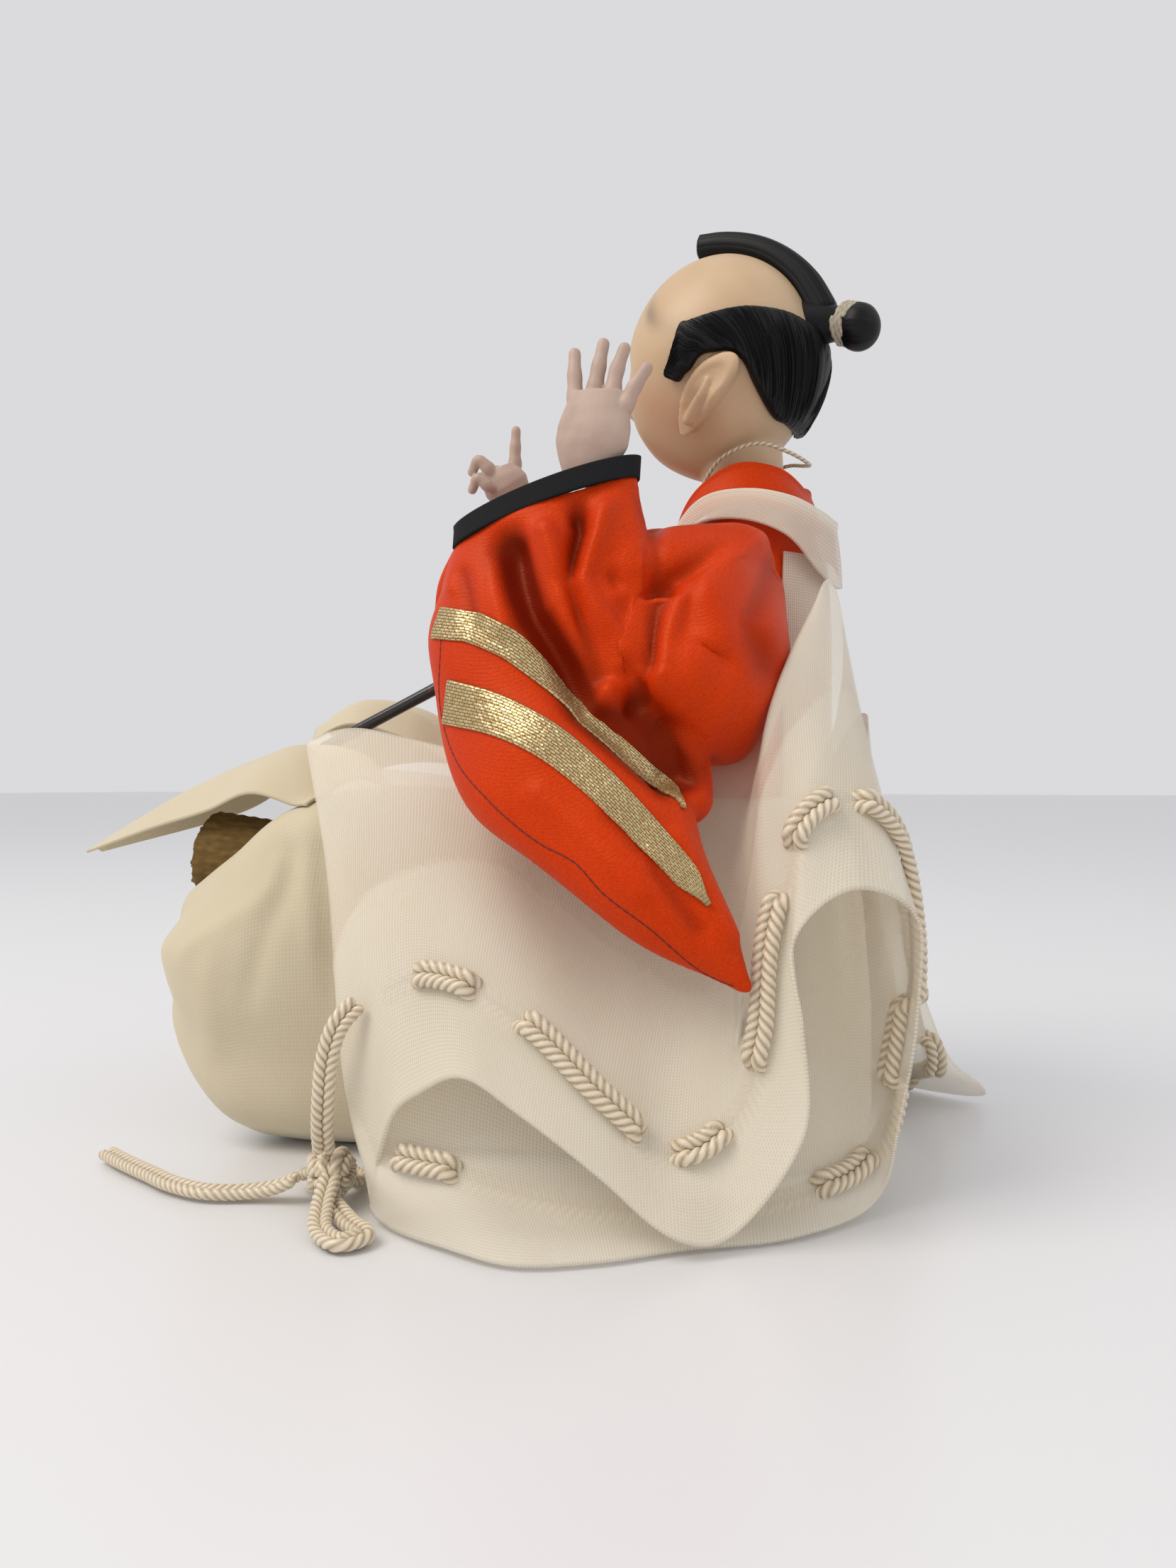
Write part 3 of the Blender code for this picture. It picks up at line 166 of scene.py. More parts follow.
def gridQuads(rows, columns, around=False, first=0):
    # Quads of a grid, and for each corner its row and column in a table one column wider
    r, c = np.meshgrid(np.arange(rows - 1), np.arange(columns if around else columns - 1), indexing="ij")
    r, c = r.ravel(), c.ravel()
    n = (c + 1) % columns
    quads = np.column_stack([r * columns + c, r * columns + n, (r + 1) * columns + n, (r + 1) * columns + c])
    corners = np.stack([r, c, r, c + 1, r + 1, c + 1, r + 1, c], axis=1).reshape(-1, 4, 2)
    return quads + first, corners


def measuredUv(grid, around=False):
    # Millimetres across and along a grid, averaged so that its threads run straight
    wide = np.concatenate([grid, grid[:, :1]], axis=1) if around else grid
    across = np.linalg.norm(np.diff(wide, axis=1), axis=2).mean(axis=0)
    along = np.linalg.norm(np.diff(grid, axis=0), axis=2).mean(axis=1)
    u = np.concatenate([[0.0], np.cumsum(across)])
    v = np.concatenate([[0.0], np.cumsum(along)])
    return np.stack(np.meshgrid(u, v[-1] - v), axis=-1)


def clothShell(name, outer, inner, around=False, table=None):
    # Closed cloth between two grids: both faces, then the strips that join their edges
    rows, columns = outer.shape[:2]
    table = measuredUv(outer, around) if table is None else table
    far = rows * columns
    quads, corners = gridQuads(rows, columns, around)
    uv = table[corners[..., 0], corners[..., 1]]
    parts, uvs = [quads, quads[:, ::-1] + far], [uv, uv[:, ::-1]]
    spans = np.arange(columns if around else columns - 1)
    after = (spans + 1) % columns
    for base, flip in ((0, False), ((rows - 1) * columns, True)):
        strip = np.column_stack([base + after, base + spans, far + base + spans, far + base + after])
        row = 0 if base == 0 else rows - 1
        edge = np.stack([table[row, spans + 1], table[row, spans], table[row, spans],
                         table[row, spans + 1]], axis=1)
        parts.append(strip[:, ::-1] if flip else strip)
        uvs.append(edge[:, ::-1] if flip else edge)
    if not around:
        lines = np.arange(rows - 1)
        for column, flip in ((0, False), (columns - 1, True)):
            a, b = lines * columns + column, (lines + 1) * columns + column
            strip = np.column_stack([a, b, far + b, far + a])
            edge = np.stack([table[lines, column], table[lines + 1, column], table[lines + 1, column],
                             table[lines, column]], axis=1)
            parts.append(strip[:, ::-1] if flip else strip)
            uvs.append(edge[:, ::-1] if flip else edge)
    points = np.concatenate([outer.reshape(-1, 3), inner.reshape(-1, 3)])
    made = makeMesh(name, points, np.concatenate(parts), uv=np.concatenate(uvs))
    return outward(made)


def clothSheet(name, grid, wall, around=False, table=None):
    lift = gridNormals(grid, around) * wall / 2
    return clothShell(name, grid + lift, grid - lift, around, table)


def outward(made):
    # Turns a closed mesh right side out: the volume under its faces, summed from the origin, is positive
    mesh = made.data
    mesh.calc_loop_triangles()
    points = readPoints(made)
    triangles = np.zeros(len(mesh.loop_triangles) * 3, np.int32)
    mesh.loop_triangles.foreach_get("vertices", triangles)
    a, b, c = (points[triangles.reshape(-1, 3)[:, k]] for k in range(3))
    if np.sum(a * np.cross(b, c)) < 0:
        mesh.flip_normals()
    return made


def readPoints(made):
    values = np.zeros(len(made.data.vertices) * 3)
    made.data.vertices.foreach_get("co", values)
    return values.reshape(-1, 3) / mm


def writePoints(made, points):
    made.data.vertices.foreach_set("co", (points * mm).ravel())
    made.data.update()


def readNormals(made):
    values = np.zeros(len(made.data.vertices) * 3)
    made.data.vertex_normals.foreach_get("vector", values)
    return values.reshape(-1, 3)


def loftParts(rings):
    # Closed rings joined in turn, each end closed by a fan on its own middle
    rings = np.array(rings, float)
    count, size = rings.shape[:2]
    points = np.concatenate([rings.reshape(-1, 3), rings[0].mean(axis=0)[None], rings[-1].mean(axis=0)[None]])
    quads, corners = gridQuads(count, size, True)
    c = np.arange(size)
    n = (c + 1) % size
    last = (count - 1) * size
    fans = np.concatenate([np.column_stack([n, c, np.full(size, count * size)]),
                           np.column_stack([last + c, last + n, np.full(size, count * size + 1)])])
    table = measuredUv(rings, True)
    return points, quads, fans, table[corners[..., 0], corners[..., 1]]


def loftMesh(name, rings):
    points, quads, fans, uv = loftParts(rings)
    return outward(makeMesh(name, points, quads, fans, uv))


def pathFrames(path, reference=None):
    # Two directions square to a path; without a reference they are carried along with the least turning
    heading = unit(np.gradient(path, axis=0))
    if reference is not None:
        first = unit(np.cross(heading, reference))
        return heading, first, np.cross(heading, first)
    first = np.zeros_like(path)
    start = np.zeros(3)
    start[np.argmin(np.abs(heading[0]))] = 1.0
    first[0] = unit(np.cross(heading[0], start))
    for i in range(1, len(path)):
        first[i] = unit(first[i - 1] - heading[i] * (first[i - 1] @ heading[i]))
    return heading, first, np.cross(heading, first)


def tubeRings(path, radii, sides, flatten=1.0, reference=None, roundEnds=False):
    # Rings square to a path; flatten is the second radius over the first
    path = np.array(path, float)
    radii = np.broadcast_to(np.array(radii, float), (len(path),)).copy()
    heading, first, second = pathFrames(path, reference)
    if roundEnds:
        caps = np.radians(np.array([80, 60, 40, 20]))
        path = np.concatenate([path[0] - heading[0] * radii[0] * np.sin(caps)[:, None], path,
                               path[-1] + heading[-1] * radii[-1] * np.sin(caps[::-1])[:, None]])
        first = np.concatenate([np.repeat(first[:1], 4, 0), first, np.repeat(first[-1:], 4, 0)])
        second = np.concatenate([np.repeat(second[:1], 4, 0), second, np.repeat(second[-1:], 4, 0)])
        radii = np.concatenate([radii[0] * np.cos(caps), radii, radii[-1] * np.cos(caps[::-1])])
    turn = np.linspace(0, 2 * math.pi, sides, endpoint=False)
    return (path[:, None] + radii[:, None, None] * (np.cos(turn)[None, :, None] * first[:, None]
            + flatten * np.sin(turn)[None, :, None] * second[:, None]))


def joinParts(parts):
    points, quads, fans, uvs, first = [], [], [], [], 0
    for some in parts:
        points.append(some[0])
        quads.append(some[1] + first)
        fans.append(some[2] + first)
        uvs.append(some[3])
        first += len(some[0])
    return np.concatenate(points), np.concatenate(quads), np.concatenate(fans), np.concatenate(uvs)


def fuseForms(name, forms, voxel, steps):
    # Closed forms melted into one skin on a grid of voxels, then relaxed
    points, quads, fans, _ = joinParts([loftParts(rings) for rings in forms])
    rough = makeMesh(name + "_rough", points, quads, fans)
    melt = rough.modifiers.new("melt", "REMESH")
    melt.mode = "VOXEL"
    melt.voxel_size = voxel * mm
    relax = rough.modifiers.new("relax", "SMOOTH")
    relax.iterations = steps
    relax.factor = 0.5
    graph = bpy.context.evaluated_depsgraph_get()
    mesh = bpy.data.meshes.new_from_object(rough.evaluated_get(graph))
    bpy.data.objects.remove(rough)
    mesh.polygons.foreach_set("use_smooth", np.ones(len(mesh.polygons), bool))
    mesh.name = name
    made = bpy.data.objects.new(name, mesh)
    bpy.context.scene.collection.objects.link(made)
    return made


def strokeDistance(spots, line):
    # Distance of each spot to a line of straight spans, all spots at once
    line = np.array(line, float)
    best = np.full(len(spots), 1e9)
    for a, b in zip(line[:-1], line[1:]):
        along = np.clip(((spots - a) @ (b - a)) / max((b - a) @ (b - a), 1e-9), 0, 1)
        best = np.minimum(best, np.linalg.norm(spots - a - along[:, None] * (b - a), axis=1))
    return best


def relaxSkin(made, steps):
    # Each point moves half way to the middle of the points that it shares an edge with
    points = readPoints(made)
    edges = np.zeros(len(made.data.edges) * 2, np.int32)
    made.data.edges.foreach_get("vertices", edges)
    a, b = edges[::2], edges[1::2]
    count = np.bincount(edges, minlength=len(points))[:, None]
    for _ in range(steps):
        total = np.stack([np.bincount(a, points[b, k], len(points)) + np.bincount(b, points[a, k], len(points))
                          for k in range(3)], axis=1)
        points = points / 2 + total / count / 2
    writePoints(made, points)


def pressFolds(made, strokes, steps=2, fade=None):
    # Raises or sinks the skin that faces the camera under each stroke: height times a bell of the distance
    points, normals = readPoints(made), readNormals(made)
    facing = smoothStep(normals @ -unit(np.array(view["ahead"])), 0.0, 0.35)
    spots = toPhoto(points)
    lift = np.zeros(len(points))
    for line, width, height in strokes:
        lift += height * np.exp(-(strokeDistance(spots, line) / width) ** 2)
    lift *= facing
    if fade is not None:
        lift *= smoothStep(strokeDistance(spots, fade), 4, 48)
    writePoints(made, points + normals * lift[:, None])
    relaxSkin(made, steps)
    return lift


def ontoSkin(tree, pixels, count):
    # Points of a smooth line drawn in the photograph, carried by rays onto a surface
    line = smoothCurve([(u, v, 0.0) for u, v in pixels], count)
    ahead, right = np.array(view["ahead"]), np.array(view["right"])
    rays = (ahead + right * ((line[:, :1] - view["middle"][0]) / view["pixels"])
            - np.array((0, 0, 1.0)) * ((line[:, 1:2] - view["middle"][1]) / view["pixels"]))
    spots = [tree.ray_cast(Vector(view["place"]), Vector(unit(ray)), 600) for ray in rays]
    kept = [(np.array(s[0]), np.array(s[1])) for s in spots if s[0] is not None]
    return np.array([k[0] for k in kept]), np.array([k[1] for k in kept])


def treeOf(made):
    mesh = made.data
    return BVHTree.FromPolygons([Vector(p) for p in readPoints(made)],
                                [tuple(face.vertices) for face in mesh.polygons])


def insideOf(tree, place):
    heading = Vector((0.31, 0.23, 0.92)).normalized()
    hits, start = 0, place
    while hits < 24:
        spot = tree.ray_cast(start, heading)[0]
        if spot is None:
            break
        hits += 1
        start = spot + heading * 0.002
    return hits % 2 == 1


def layClear(grid, trees, clear, floor=None, rounds=3, around=False):
    # Lifts cloth off what carries it, and spreads each lift over its neighbours so that no crease shows
    moved = grid.copy()
    for turn in range(rounds):
        push = np.zeros_like(moved)
        flat, flatPush = moved.reshape(-1, 3), push.reshape(-1, 3)
        for tree in trees:
            for i, point in enumerate(flat):
                place = Vector(point)
                spot, normal, _, distance = tree.find_nearest(place, 14.0)
                if spot is None:
                    continue
                if distance < 14 and insideOf(tree, place):
                    flatPush[i] += np.array(spot + normal * clear - place)
                elif distance < clear:
                    flatPush[i] += np.array((place - spot).normalized() * (clear - distance))
        if turn < rounds - 1:
            spread = push.copy()
            for _ in range(6):
                rows = np.pad(spread, ((1, 1), (0, 0), (0, 0)), mode="edge")
                sides = np.pad(spread, ((0, 0), (1, 1), (0, 0)), mode="wrap" if around else "edge")
                spread = (rows[2:] + rows[:-2] + sides[:, 2:] + sides[:, :-2]) / 4
            size, wide = np.linalg.norm(push, axis=2), np.linalg.norm(spread, axis=2)
            push = np.where((size > wide)[..., None], push, spread)
        moved = moved + push
        if floor is not None:
            moved[..., 2] = np.maximum(moved[..., 2], floor)
    return moved


# Materials


def linear(colour):
    values = [int(colour[i:i + 2], 16) / 255 for i in (1, 3, 5)]
    return (*[v / 12.92 if v <= 0.04045 else ((v + 0.055) / 1.055) ** 2.4 for v in values], 1.0)


def addNode(tree, kind, inputs=None, **settings):
    node = tree.nodes.new(kind)
    for key, value in settings.items():
        setattr(node, key, value)
    for key, value in (inputs or {}).items():
        if isinstance(value, bpy.types.NodeSocket):
            tree.links.new(value, node.inputs[key])
        else:
            node.inputs[key].default_value = value
    return node


def newMaterial(name, roughness, **shaderValues):
    made = bpy.data.materials.new(name)
    made.use_nodes = True
    tree = made.node_tree
    shader = tree.nodes["Principled BSDF"]
    shader.inputs["Roughness"].default_value = roughness
    for key, value in shaderValues.items():
        shader.inputs[key.replace("_", " ")].default_value = value
    return made, tree, shader


def bandScale(spacing):
    return 2 * math.pi / (20 * spacing * mm)          # a band texture turns over 20 radians a unit


def tint(tree, low, high, factor):
    mixed = addNode(tree, "ShaderNodeMix", data_type="RGBA")
    mixed.inputs[6].default_value, mixed.inputs[7].default_value = low, high
    tree.links.new(factor, mixed.inputs[0])
    return mixed.outputs[2]


def blendColours(tree, first, second, factor):
    mixed = addNode(tree, "ShaderNodeMix", data_type="RGBA")
    for socket, value in ((0, factor), (6, first), (7, second)):
        if isinstance(value, bpy.types.NodeSocket):
            tree.links.new(value, mixed.inputs[socket])
        else:
            mixed.inputs[socket].default_value = value
    return mixed.outputs[2]


def addBump(tree, shader, height, strength, distance):
    bump = addNode(tree, "ShaderNodeBump", {"Height": height, "Strength": strength, "Distance": distance * mm})
    tree.links.new(bump.outputs[0], shader.inputs["Normal"])


def maths(tree, operation, first, second=0.0):
    return addNode(tree, "ShaderNodeMath", {0: first, 1: second}, operation=operation).outputs[0]


def objectPlace(tree):
    return addNode(tree, "ShaderNodeTexCoord").outputs["Object"]


def clothPlace(tree):
    return addNode(tree, "ShaderNodeUVMap", uv_map="cloth").outputs[0]


def noiseAt(tree, place, spacing, detail=3.0, scaled=True):
    # Spots about spacing millimetres apart; scaled is for places in metres, not in the cloth's own millimetres
    return addNode(tree, "ShaderNodeTexNoise", {"Vector": place, "Scale": (1 / (spacing * mm)) if scaled else
                   1 / spacing, "Detail": detail}).outputs[0]


def threads(tree, place, spacing, axis):
    # Bands one thread apart along an axis of the cloth's own millimetres
    return addNode(tree, "ShaderNodeTexWave", {"Vector": place, "Scale": 2 * math.pi / (20 * spacing),
                   "Distortion": 0.6, "Detail": 1.0, "Detail Scale": 0.4}, bands_direction=axis).outputs[0]


def paintGofun():
    # Gofun, ground shell in glue brushed over wood paste: a matt, faintly warm skin with brush unevenness
    made, tree, shader = newMaterial("gofun_shell_white", 0.42, Specular_IOR_Level=0.45,
                                     Subsurface_Weight=0.12, Subsurface_Scale=0.002)
    place = objectPlace(tree)
    soft = noiseAt(tree, place, 9.0, 2.0)
    base = tint(tree, linear("#CFB491"), linear("#C2A07C"), soft)
    # The first mark is real rouge on the cheeks plus painted shade under the chin; the last is painted shade in the ear
    # bowls and on the neck
    for layer, colour, share in (("blush_and_chin_shade", "#C07A55", 0.75), ("brow", "#5E5248", 0.7), ("shade", "#8F6A4C", 0.8)):
        mark = addNode(tree, "ShaderNodeAttribute", attribute_name=layer).outputs["Fac"]
        base = blendColours(tree, base, linear(colour), maths(tree, "MULTIPLY", mark, share))
    tree.links.new(base, shader.inputs["Base Color"])
    addBump(tree, shader, noiseAt(tree, place, 1.2), 0.18, 0.08)
    return made


def paintHandGofun():
    # The same gofun on the hands, greyer from handling
    made, tree, shader = newMaterial("gofun_handled", 0.5, Specular_IOR_Level=0.4, Subsurface_Weight=0.1,
                                     Subsurface_Scale=0.002)
    place = objectPlace(tree)
    base = tint(tree, linear("#C9B1A2"), linear("#A98F80"), noiseAt(tree, place, 5.0))
    tree.links.new(base, shader.inputs["Base Color"])
    addBump(tree, shader, noiseAt(tree, place, 0.9), 0.2, 0.06)
    return made


def paintInk(name, colour, roughness):
    # Brushed ink or colour on gofun: thin, slightly streaked
    made, tree, shader = newMaterial(name, roughness)
    base = tint(tree, linear(colour), tuple(min(v * 1.6, 1.0) for v in linear(colour)),
                noiseAt(tree, objectPlace(tree), 0.8))
    tree.links.new(base, shader.inputs["Base Color"])
    return made


def paintHair():
    # Black silk floss combed with camellia oil: near black, with a long soft gloss along the strands
    made, tree, shader = newMaterial("combed_black_silk", 0.46, Specular_IOR_Level=0.24)
    place = clothPlace(tree)
    stretched = addNode(tree, "ShaderNodeMapping", {"Vector": place, "Scale": (2.6, 0.06, 1.0)}).outputs[0]
    strand = addNode(tree, "ShaderNodeTexNoise", {"Vector": stretched, "Scale": 1.0, "Detail": 4.0}).outputs[0]
    tree.links.new(tint(tree, linear("#030304"), linear("#0D0D0F"), strand), shader.inputs["Base Color"])
    addBump(tree, shader, strand, 0.4, 0.1)
    return made


def paintPaperTie():
    # Twisted washi string: dull off-white with the turns of the twist in shadow
    made, tree, shader = newMaterial("twisted_washi", 0.75)
    place = objectPlace(tree)
    base = tint(tree, linear("#8E8471"), linear("#C8BEA8"), noiseAt(tree, place, 0.7))
    tree.links.new(base, shader.inputs["Base Color"])
    addBump(tree, shader, noiseAt(tree, place, 0.35), 0.5, 0.1)
    return made


def paintSatin():
    # Shusu satin silk over padding: warm orange-red, a broad soft sheen, fine slanting floats and painted shade in the
    # fold hollows
    # Threads are about 0.1 mm; the floats are drawn 0.42 mm apart and the grain 0.5 mm, so that a render shows them
    made, tree, shader = newMaterial("orange_shusu_satin", 0.48, Specular_IOR_Level=0.38, Sheen_Weight=0.22,
                                     Sheen_Roughness=0.3, Sheen_Tint=linear("#FF6A30"),
                                     Specular_Tint=linear("#FFA56A"))
    place = objectPlace(tree)
    slant = addNode(tree, "ShaderNodeMapping", {"Vector": place, "Rotation": (0.5, 0.75, 0.35)}).outputs[0]
    floats = addNode(tree, "ShaderNodeTexWave", {"Vector": slant, "Scale": bandScale(0.42), "Distortion": 5.0,
                     "Detail": 2.0, "Detail Scale": 1.5}, bands_direction="X").outputs[0]
    ply = noiseAt(tree, slant, 0.5, 3.0)
    cloud = noiseAt(tree, place, 14.0, 2.0)
    base = tint(tree, linear("#C62E06"), linear("#DB420C"), cloud)
    base = blendColours(tree, base, linear("#B92B08"), maths(tree, "MULTIPLY", floats, 0.16))
    grain = addNode(tree, "ShaderNodeMapRange", {"Value": ply, "From Min": 0.36, "From Max": 0.64}).outputs[0]
    base = blendColours(tree, base, linear("#AE2704"), maths(tree, "MULTIPLY", grain, 0.42))
    # Painted shade: the marked fold hollows are darkened towards a deep red
    fold_shade = addNode(tree, "ShaderNodeAttribute", attribute_name="fold_shade").outputs["Fac"]
    base = blendColours(tree, base, linear("#6E1102"), maths(tree, "MULTIPLY", fold_shade, 0.95))
    tree.links.new(base, shader.inputs["Base Color"])
    addBump(tree, shader, maths(tree, "ADD", maths(tree, "MULTIPLY", floats, 0.35), ply), 0.45, 0.14)
    return made


def paintGauze(name, singleShare, doubleShare, warm):
    # Ro gauze of raw silk: thin flat threads with rows of gaps, sheer alone and milky where doubled
    # Real rows are about 0.4 mm apart; here 0.6 mm, so that the weave shows at this size
    made, tree, shader = newMaterial(name, 0.62, Specular_IOR_Level=0.35, Sheen_Weight=0.25, Sheen_Roughness=0.5)
    place = clothPlace(tree)
    warp, weft = threads(tree, place, 0.6, "X"), threads(tree, place, 0.6, "Y")
    weave = maths(tree, "MAXIMUM", warp, maths(tree, "MULTIPLY", weft, 0.8))
    doubled = addNode(tree, "ShaderNodeAttribute", attribute_name="doubled").outputs["Fac"]
    low = blendColours(tree, (singleShare - 0.17,) * 3 + (1,), (doubleShare - 0.08,) * 3 + (1,), doubled)
    high = blendColours(tree, (singleShare + 0.17,) * 3 + (1,), (doubleShare + 0.08,) * 3 + (1,), doubled)
    cover = blendColours(tree, low, high, weave)
    tree.links.new(cover, shader.inputs["Alpha"])
    cloud = addNode(tree, "ShaderNodeTexNoise", {"Vector": place, "Scale": 0.05, "Detail": 3.0}).outputs[0]
    single = tint(tree, linear(warm), linear("#F2E6D2"), cloud)
    double = tint(tree, linear("#F0E6D0"), linear("#F7F0E1"), cloud)
    base = blendColours(tree, single, double, doubled)
    base = blendColours(tree, base, linear("#B9AE92"), maths(tree, "MULTIPLY", maths(tree, "SUBTRACT", 1.0, weave),
                        0.14))
    tree.links.new(base, shader.inputs["Base Color"])
    addBump(tree, shader, weave, 0.15, 0.05)
    return made


def paintCotton():
    # Ivory habutae over padding, aged to cream: plain weave, soft and almost without gloss
    made, tree, shader = newMaterial("aged_ivory_habutae", 0.7, Specular_IOR_Level=0.3, Sheen_Weight=0.3,
                                     Sheen_Roughness=0.5)
    place = clothPlace(tree)
    weave = maths(tree, "ADD", threads(tree, place, 0.7, "X"), threads(tree, place, 0.7, "Y"))
    cloud = noiseAt(tree, objectPlace(tree), 22.0, 3.0)
    base = tint(tree, linear("#DACFB6"), linear("#CBBD9E"), cloud)
    base = blendColours(tree, base, linear("#C4B48F"), maths(tree, "MULTIPLY", weave, 0.18))
    tree.links.new(base, shader.inputs["Base Color"])
    addBump(tree, shader, weave, 0.22, 0.08)
    return made


def paintBraid():
    # Sasaberi, flat gimp braid of gilt paper and silk: short bricks, some painted pale gold as glints one by one
    made, tree, shader = newMaterial("gilt_paper_braid", 0.32, Specular_IOR_Level=0.6)
    place = clothPlace(tree)
    # Brick rows run along the band, 0.62 mm wide, each float about 1.35 mm long
    bricks = addNode(tree, "ShaderNodeTexBrick", {"Vector": place, "Color1": (1, 1, 1, 1), "Color2": (0.55,) * 3 + (1,),
                     "Mortar": (0, 0, 0, 1), "Scale": 1.0, "Mortar Size": 0.09, "Mortar Smooth": 0.6,
                     "Brick Width": 1.35, "Row Height": 0.62}, offset=0.5)
    paintedGlintNoise = noiseAt(tree, place, 1.1, 1.0, False)
    # Painted highlight: the noise lifts single bricks to pale gold as glints
    base = tint(tree, linear("#A8803E"), linear("#FBEDBC"), maths(tree, "MULTIPLY", paintedGlintNoise, bricks.outputs[0]))
    base = blendColours(tree, base, linear("#6B4F24"), bricks.outputs["Fac"])
    tree.links.new(base, shader.inputs["Base Color"])
    tree.links.new(maths(tree, "MULTIPLY", bricks.outputs[0], 0.88), shader.inputs["Metallic"])
    addBump(tree, shader, maths(tree, "ADD", paintedGlintNoise, maths(tree, "SUBTRACT", 1.0, bricks.outputs["Fac"])), 0.8, 0.26)
    return made


def paintBlackFacing():
    # Black plain-weave facing: dull, with a light bloom on its fold
    made, tree, shader = newMaterial("black_plain_weave", 0.8, Specular_IOR_Level=0.25)
    place = clothPlace(tree)
    weave = maths(tree, "ADD", threads(tree, place, 0.5, "X"), threads(tree, place, 0.5, "Y"))
    tree.links.new(tint(tree, linear("#0B0B0D"), linear("#1D1C20"), maths(tree, "MULTIPLY", weave, 0.5)),
                   shader.inputs["Base Color"])
    addBump(tree, shader, weave, 0.3, 0.08)
    return made


def paintCord():
    # Rayon-silk cord of paired plies: cream, glossy on the crown of each ply, with painted shade darkening the grooves
    # between plies to tan
    made, tree, shader = newMaterial("cream_silk_cord", 0.32, Specular_IOR_Level=0.6, Sheen_Weight=0.2)
    place = clothPlace(tree)
    # Painted shade: the crown mark darkens the grooves between plies
    paintedGrooveShade = addNode(tree, "ShaderNodeAttribute", attribute_name="crown").outputs["Fac"]
    fibre = addNode(tree, "ShaderNodeTexNoise", {"Vector": addNode(tree, "ShaderNodeMapping", {"Vector": place,
                    "Rotation": (0, 0, 0.6), "Scale": (7.0, 1.2, 1.0)}).outputs[0], "Scale": 1.0,
                    "Detail": 3.0}).outputs[0]
    base = tint(tree, linear("#8A6F49"), linear("#EBDFC8"), paintedGrooveShade)
    base = blendColours(tree, base, linear("#D8C6A4"), maths(tree, "MULTIPLY", fibre, 0.5))
    tree.links.new(base, shader.inputs["Base Color"])
    addBump(tree, shader, fibre, 0.5, 0.08)
    return made


def paintStraw():
    # Rice straw and hemp wound tight, cut square: dark brown, fibrous, quite dull
    made, tree, shader = newMaterial("wound_rice_straw", 0.85, Specular_IOR_Level=0.25)
    place = objectPlace(tree)
    fibre = noiseAt(tree, addNode(tree, "ShaderNodeMapping", {"Vector": place, "Rotation": (0.2, 0.0, 0.6),
                    "Scale": (1.0, 0.25, 1.0)}).outputs[0], 1.1, 5.0)
    tree.links.new(tint(tree, linear("#3C2C12"), linear("#8A6D3A"), fibre), shader.inputs["Base Color"])
    addBump(tree, shader, fibre, 0.9, 0.5)
    return made


def paintWood():
    # Paulownia, planed: pale straight grain
    made, tree, shader = newMaterial("paulownia", 0.65)
    place = objectPlace(tree)
    grain = addNode(tree, "ShaderNodeTexWave", {"Vector": place, "Scale": bandScale(2.4), "Distortion": 3.0},
                    bands_direction="Z").outputs[0]
    tree.links.new(tint(tree, linear("#C4A97E"), linear("#A88B60"), grain), shader.inputs["Base Color"])
    addBump(tree, shader, grain, 0.2, 0.1)
    return made


def paintWire():
    # Annealed iron wire: dark oxide with dull bright rubs
    made, tree, shader = newMaterial("annealed_iron", 0.5, Metallic=1.0)
    rub = noiseAt(tree, objectPlace(tree), 1.5)
    tree.links.new(tint(tree, linear("#3B3835"), linear("#7C7770"), rub), shader.inputs["Base Color"])
    addBump(tree, shader, rub, 0.2, 0.05)
    return made


def paintLacquer():
    # Urushi lacquer on bamboo, brushed black: deep gloss, worn to red at a few places near its upper end
    made, tree, shader = newMaterial("black_urushi", 0.24, Coat_Weight=0.4, Coat_Roughness=0.1)
    place = objectPlace(tree)
    worn = addNode(tree, "ShaderNodeMapRange", {"Value": noiseAt(tree, place, 2.2, 3.0), "From Min": 0.62,
                   "From Max": 0.7}).outputs[0]
    tree.links.new(tint(tree, linear("#131014"), linear("#7A1E18"), worn), shader.inputs["Base Color"])
    addBump(tree, shader, noiseAt(tree, place, 3.0), 0.12, 0.1)
    return made


# Painted shade for the seam's crease: a dark red line
seamShadeInk = paintInk("seam_crease_shade", "#5A0F04", 0.7)
gofun, handGofun, hairSilk, washi = paintGofun(), paintHandGofun(), paintHair(), paintPaperTie()
satin, cotton, braidGilt, blackFacing = paintSatin(), paintCotton(), paintBraid(), paintBlackFacing()
sheerGauze = paintGauze("raw_silk_ro_gauze", 0.3, 0.45, "#F1E2D0")
layeredGauze = paintGauze("raw_silk_ro_gauze_layered", 0.5, 0.75, "#E0CBB8")
cordSilk, straw, wood, iron, urushi = paintCord(), paintStraw(), paintWood(), paintWire(), paintLacquer()
print("materials made")


def dress(made, finish, slot, *nodes):
    made.data.materials.clear()
    made.data.materials.append(finish)
    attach(made, "root")
    if nodes:
        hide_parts(*nodes)
    return made


def mark(made, name, values):
    # A value for every point, which a material reads by name
    layer = made.data.attributes.new(name, "FLOAT", "POINT")
    layer.data.foreach_set("value", np.clip(values, 0, 1).astype(np.float32))


# Hidden solids keep their own shape

for nodeName, finish in (("seat_block", wood), ("neck_peg", wood), ("torso_core", straw),
                         ("left_arm_wire", iron), ("right_arm_wire", iron)):
    for index in range(len(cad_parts[nodeName].material_slots)):
        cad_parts[nodeName].material_slots[index].material = finish

# Free end of the lacing: drop, bow knot and tail, a pair of plies laid side by side with opposite twist

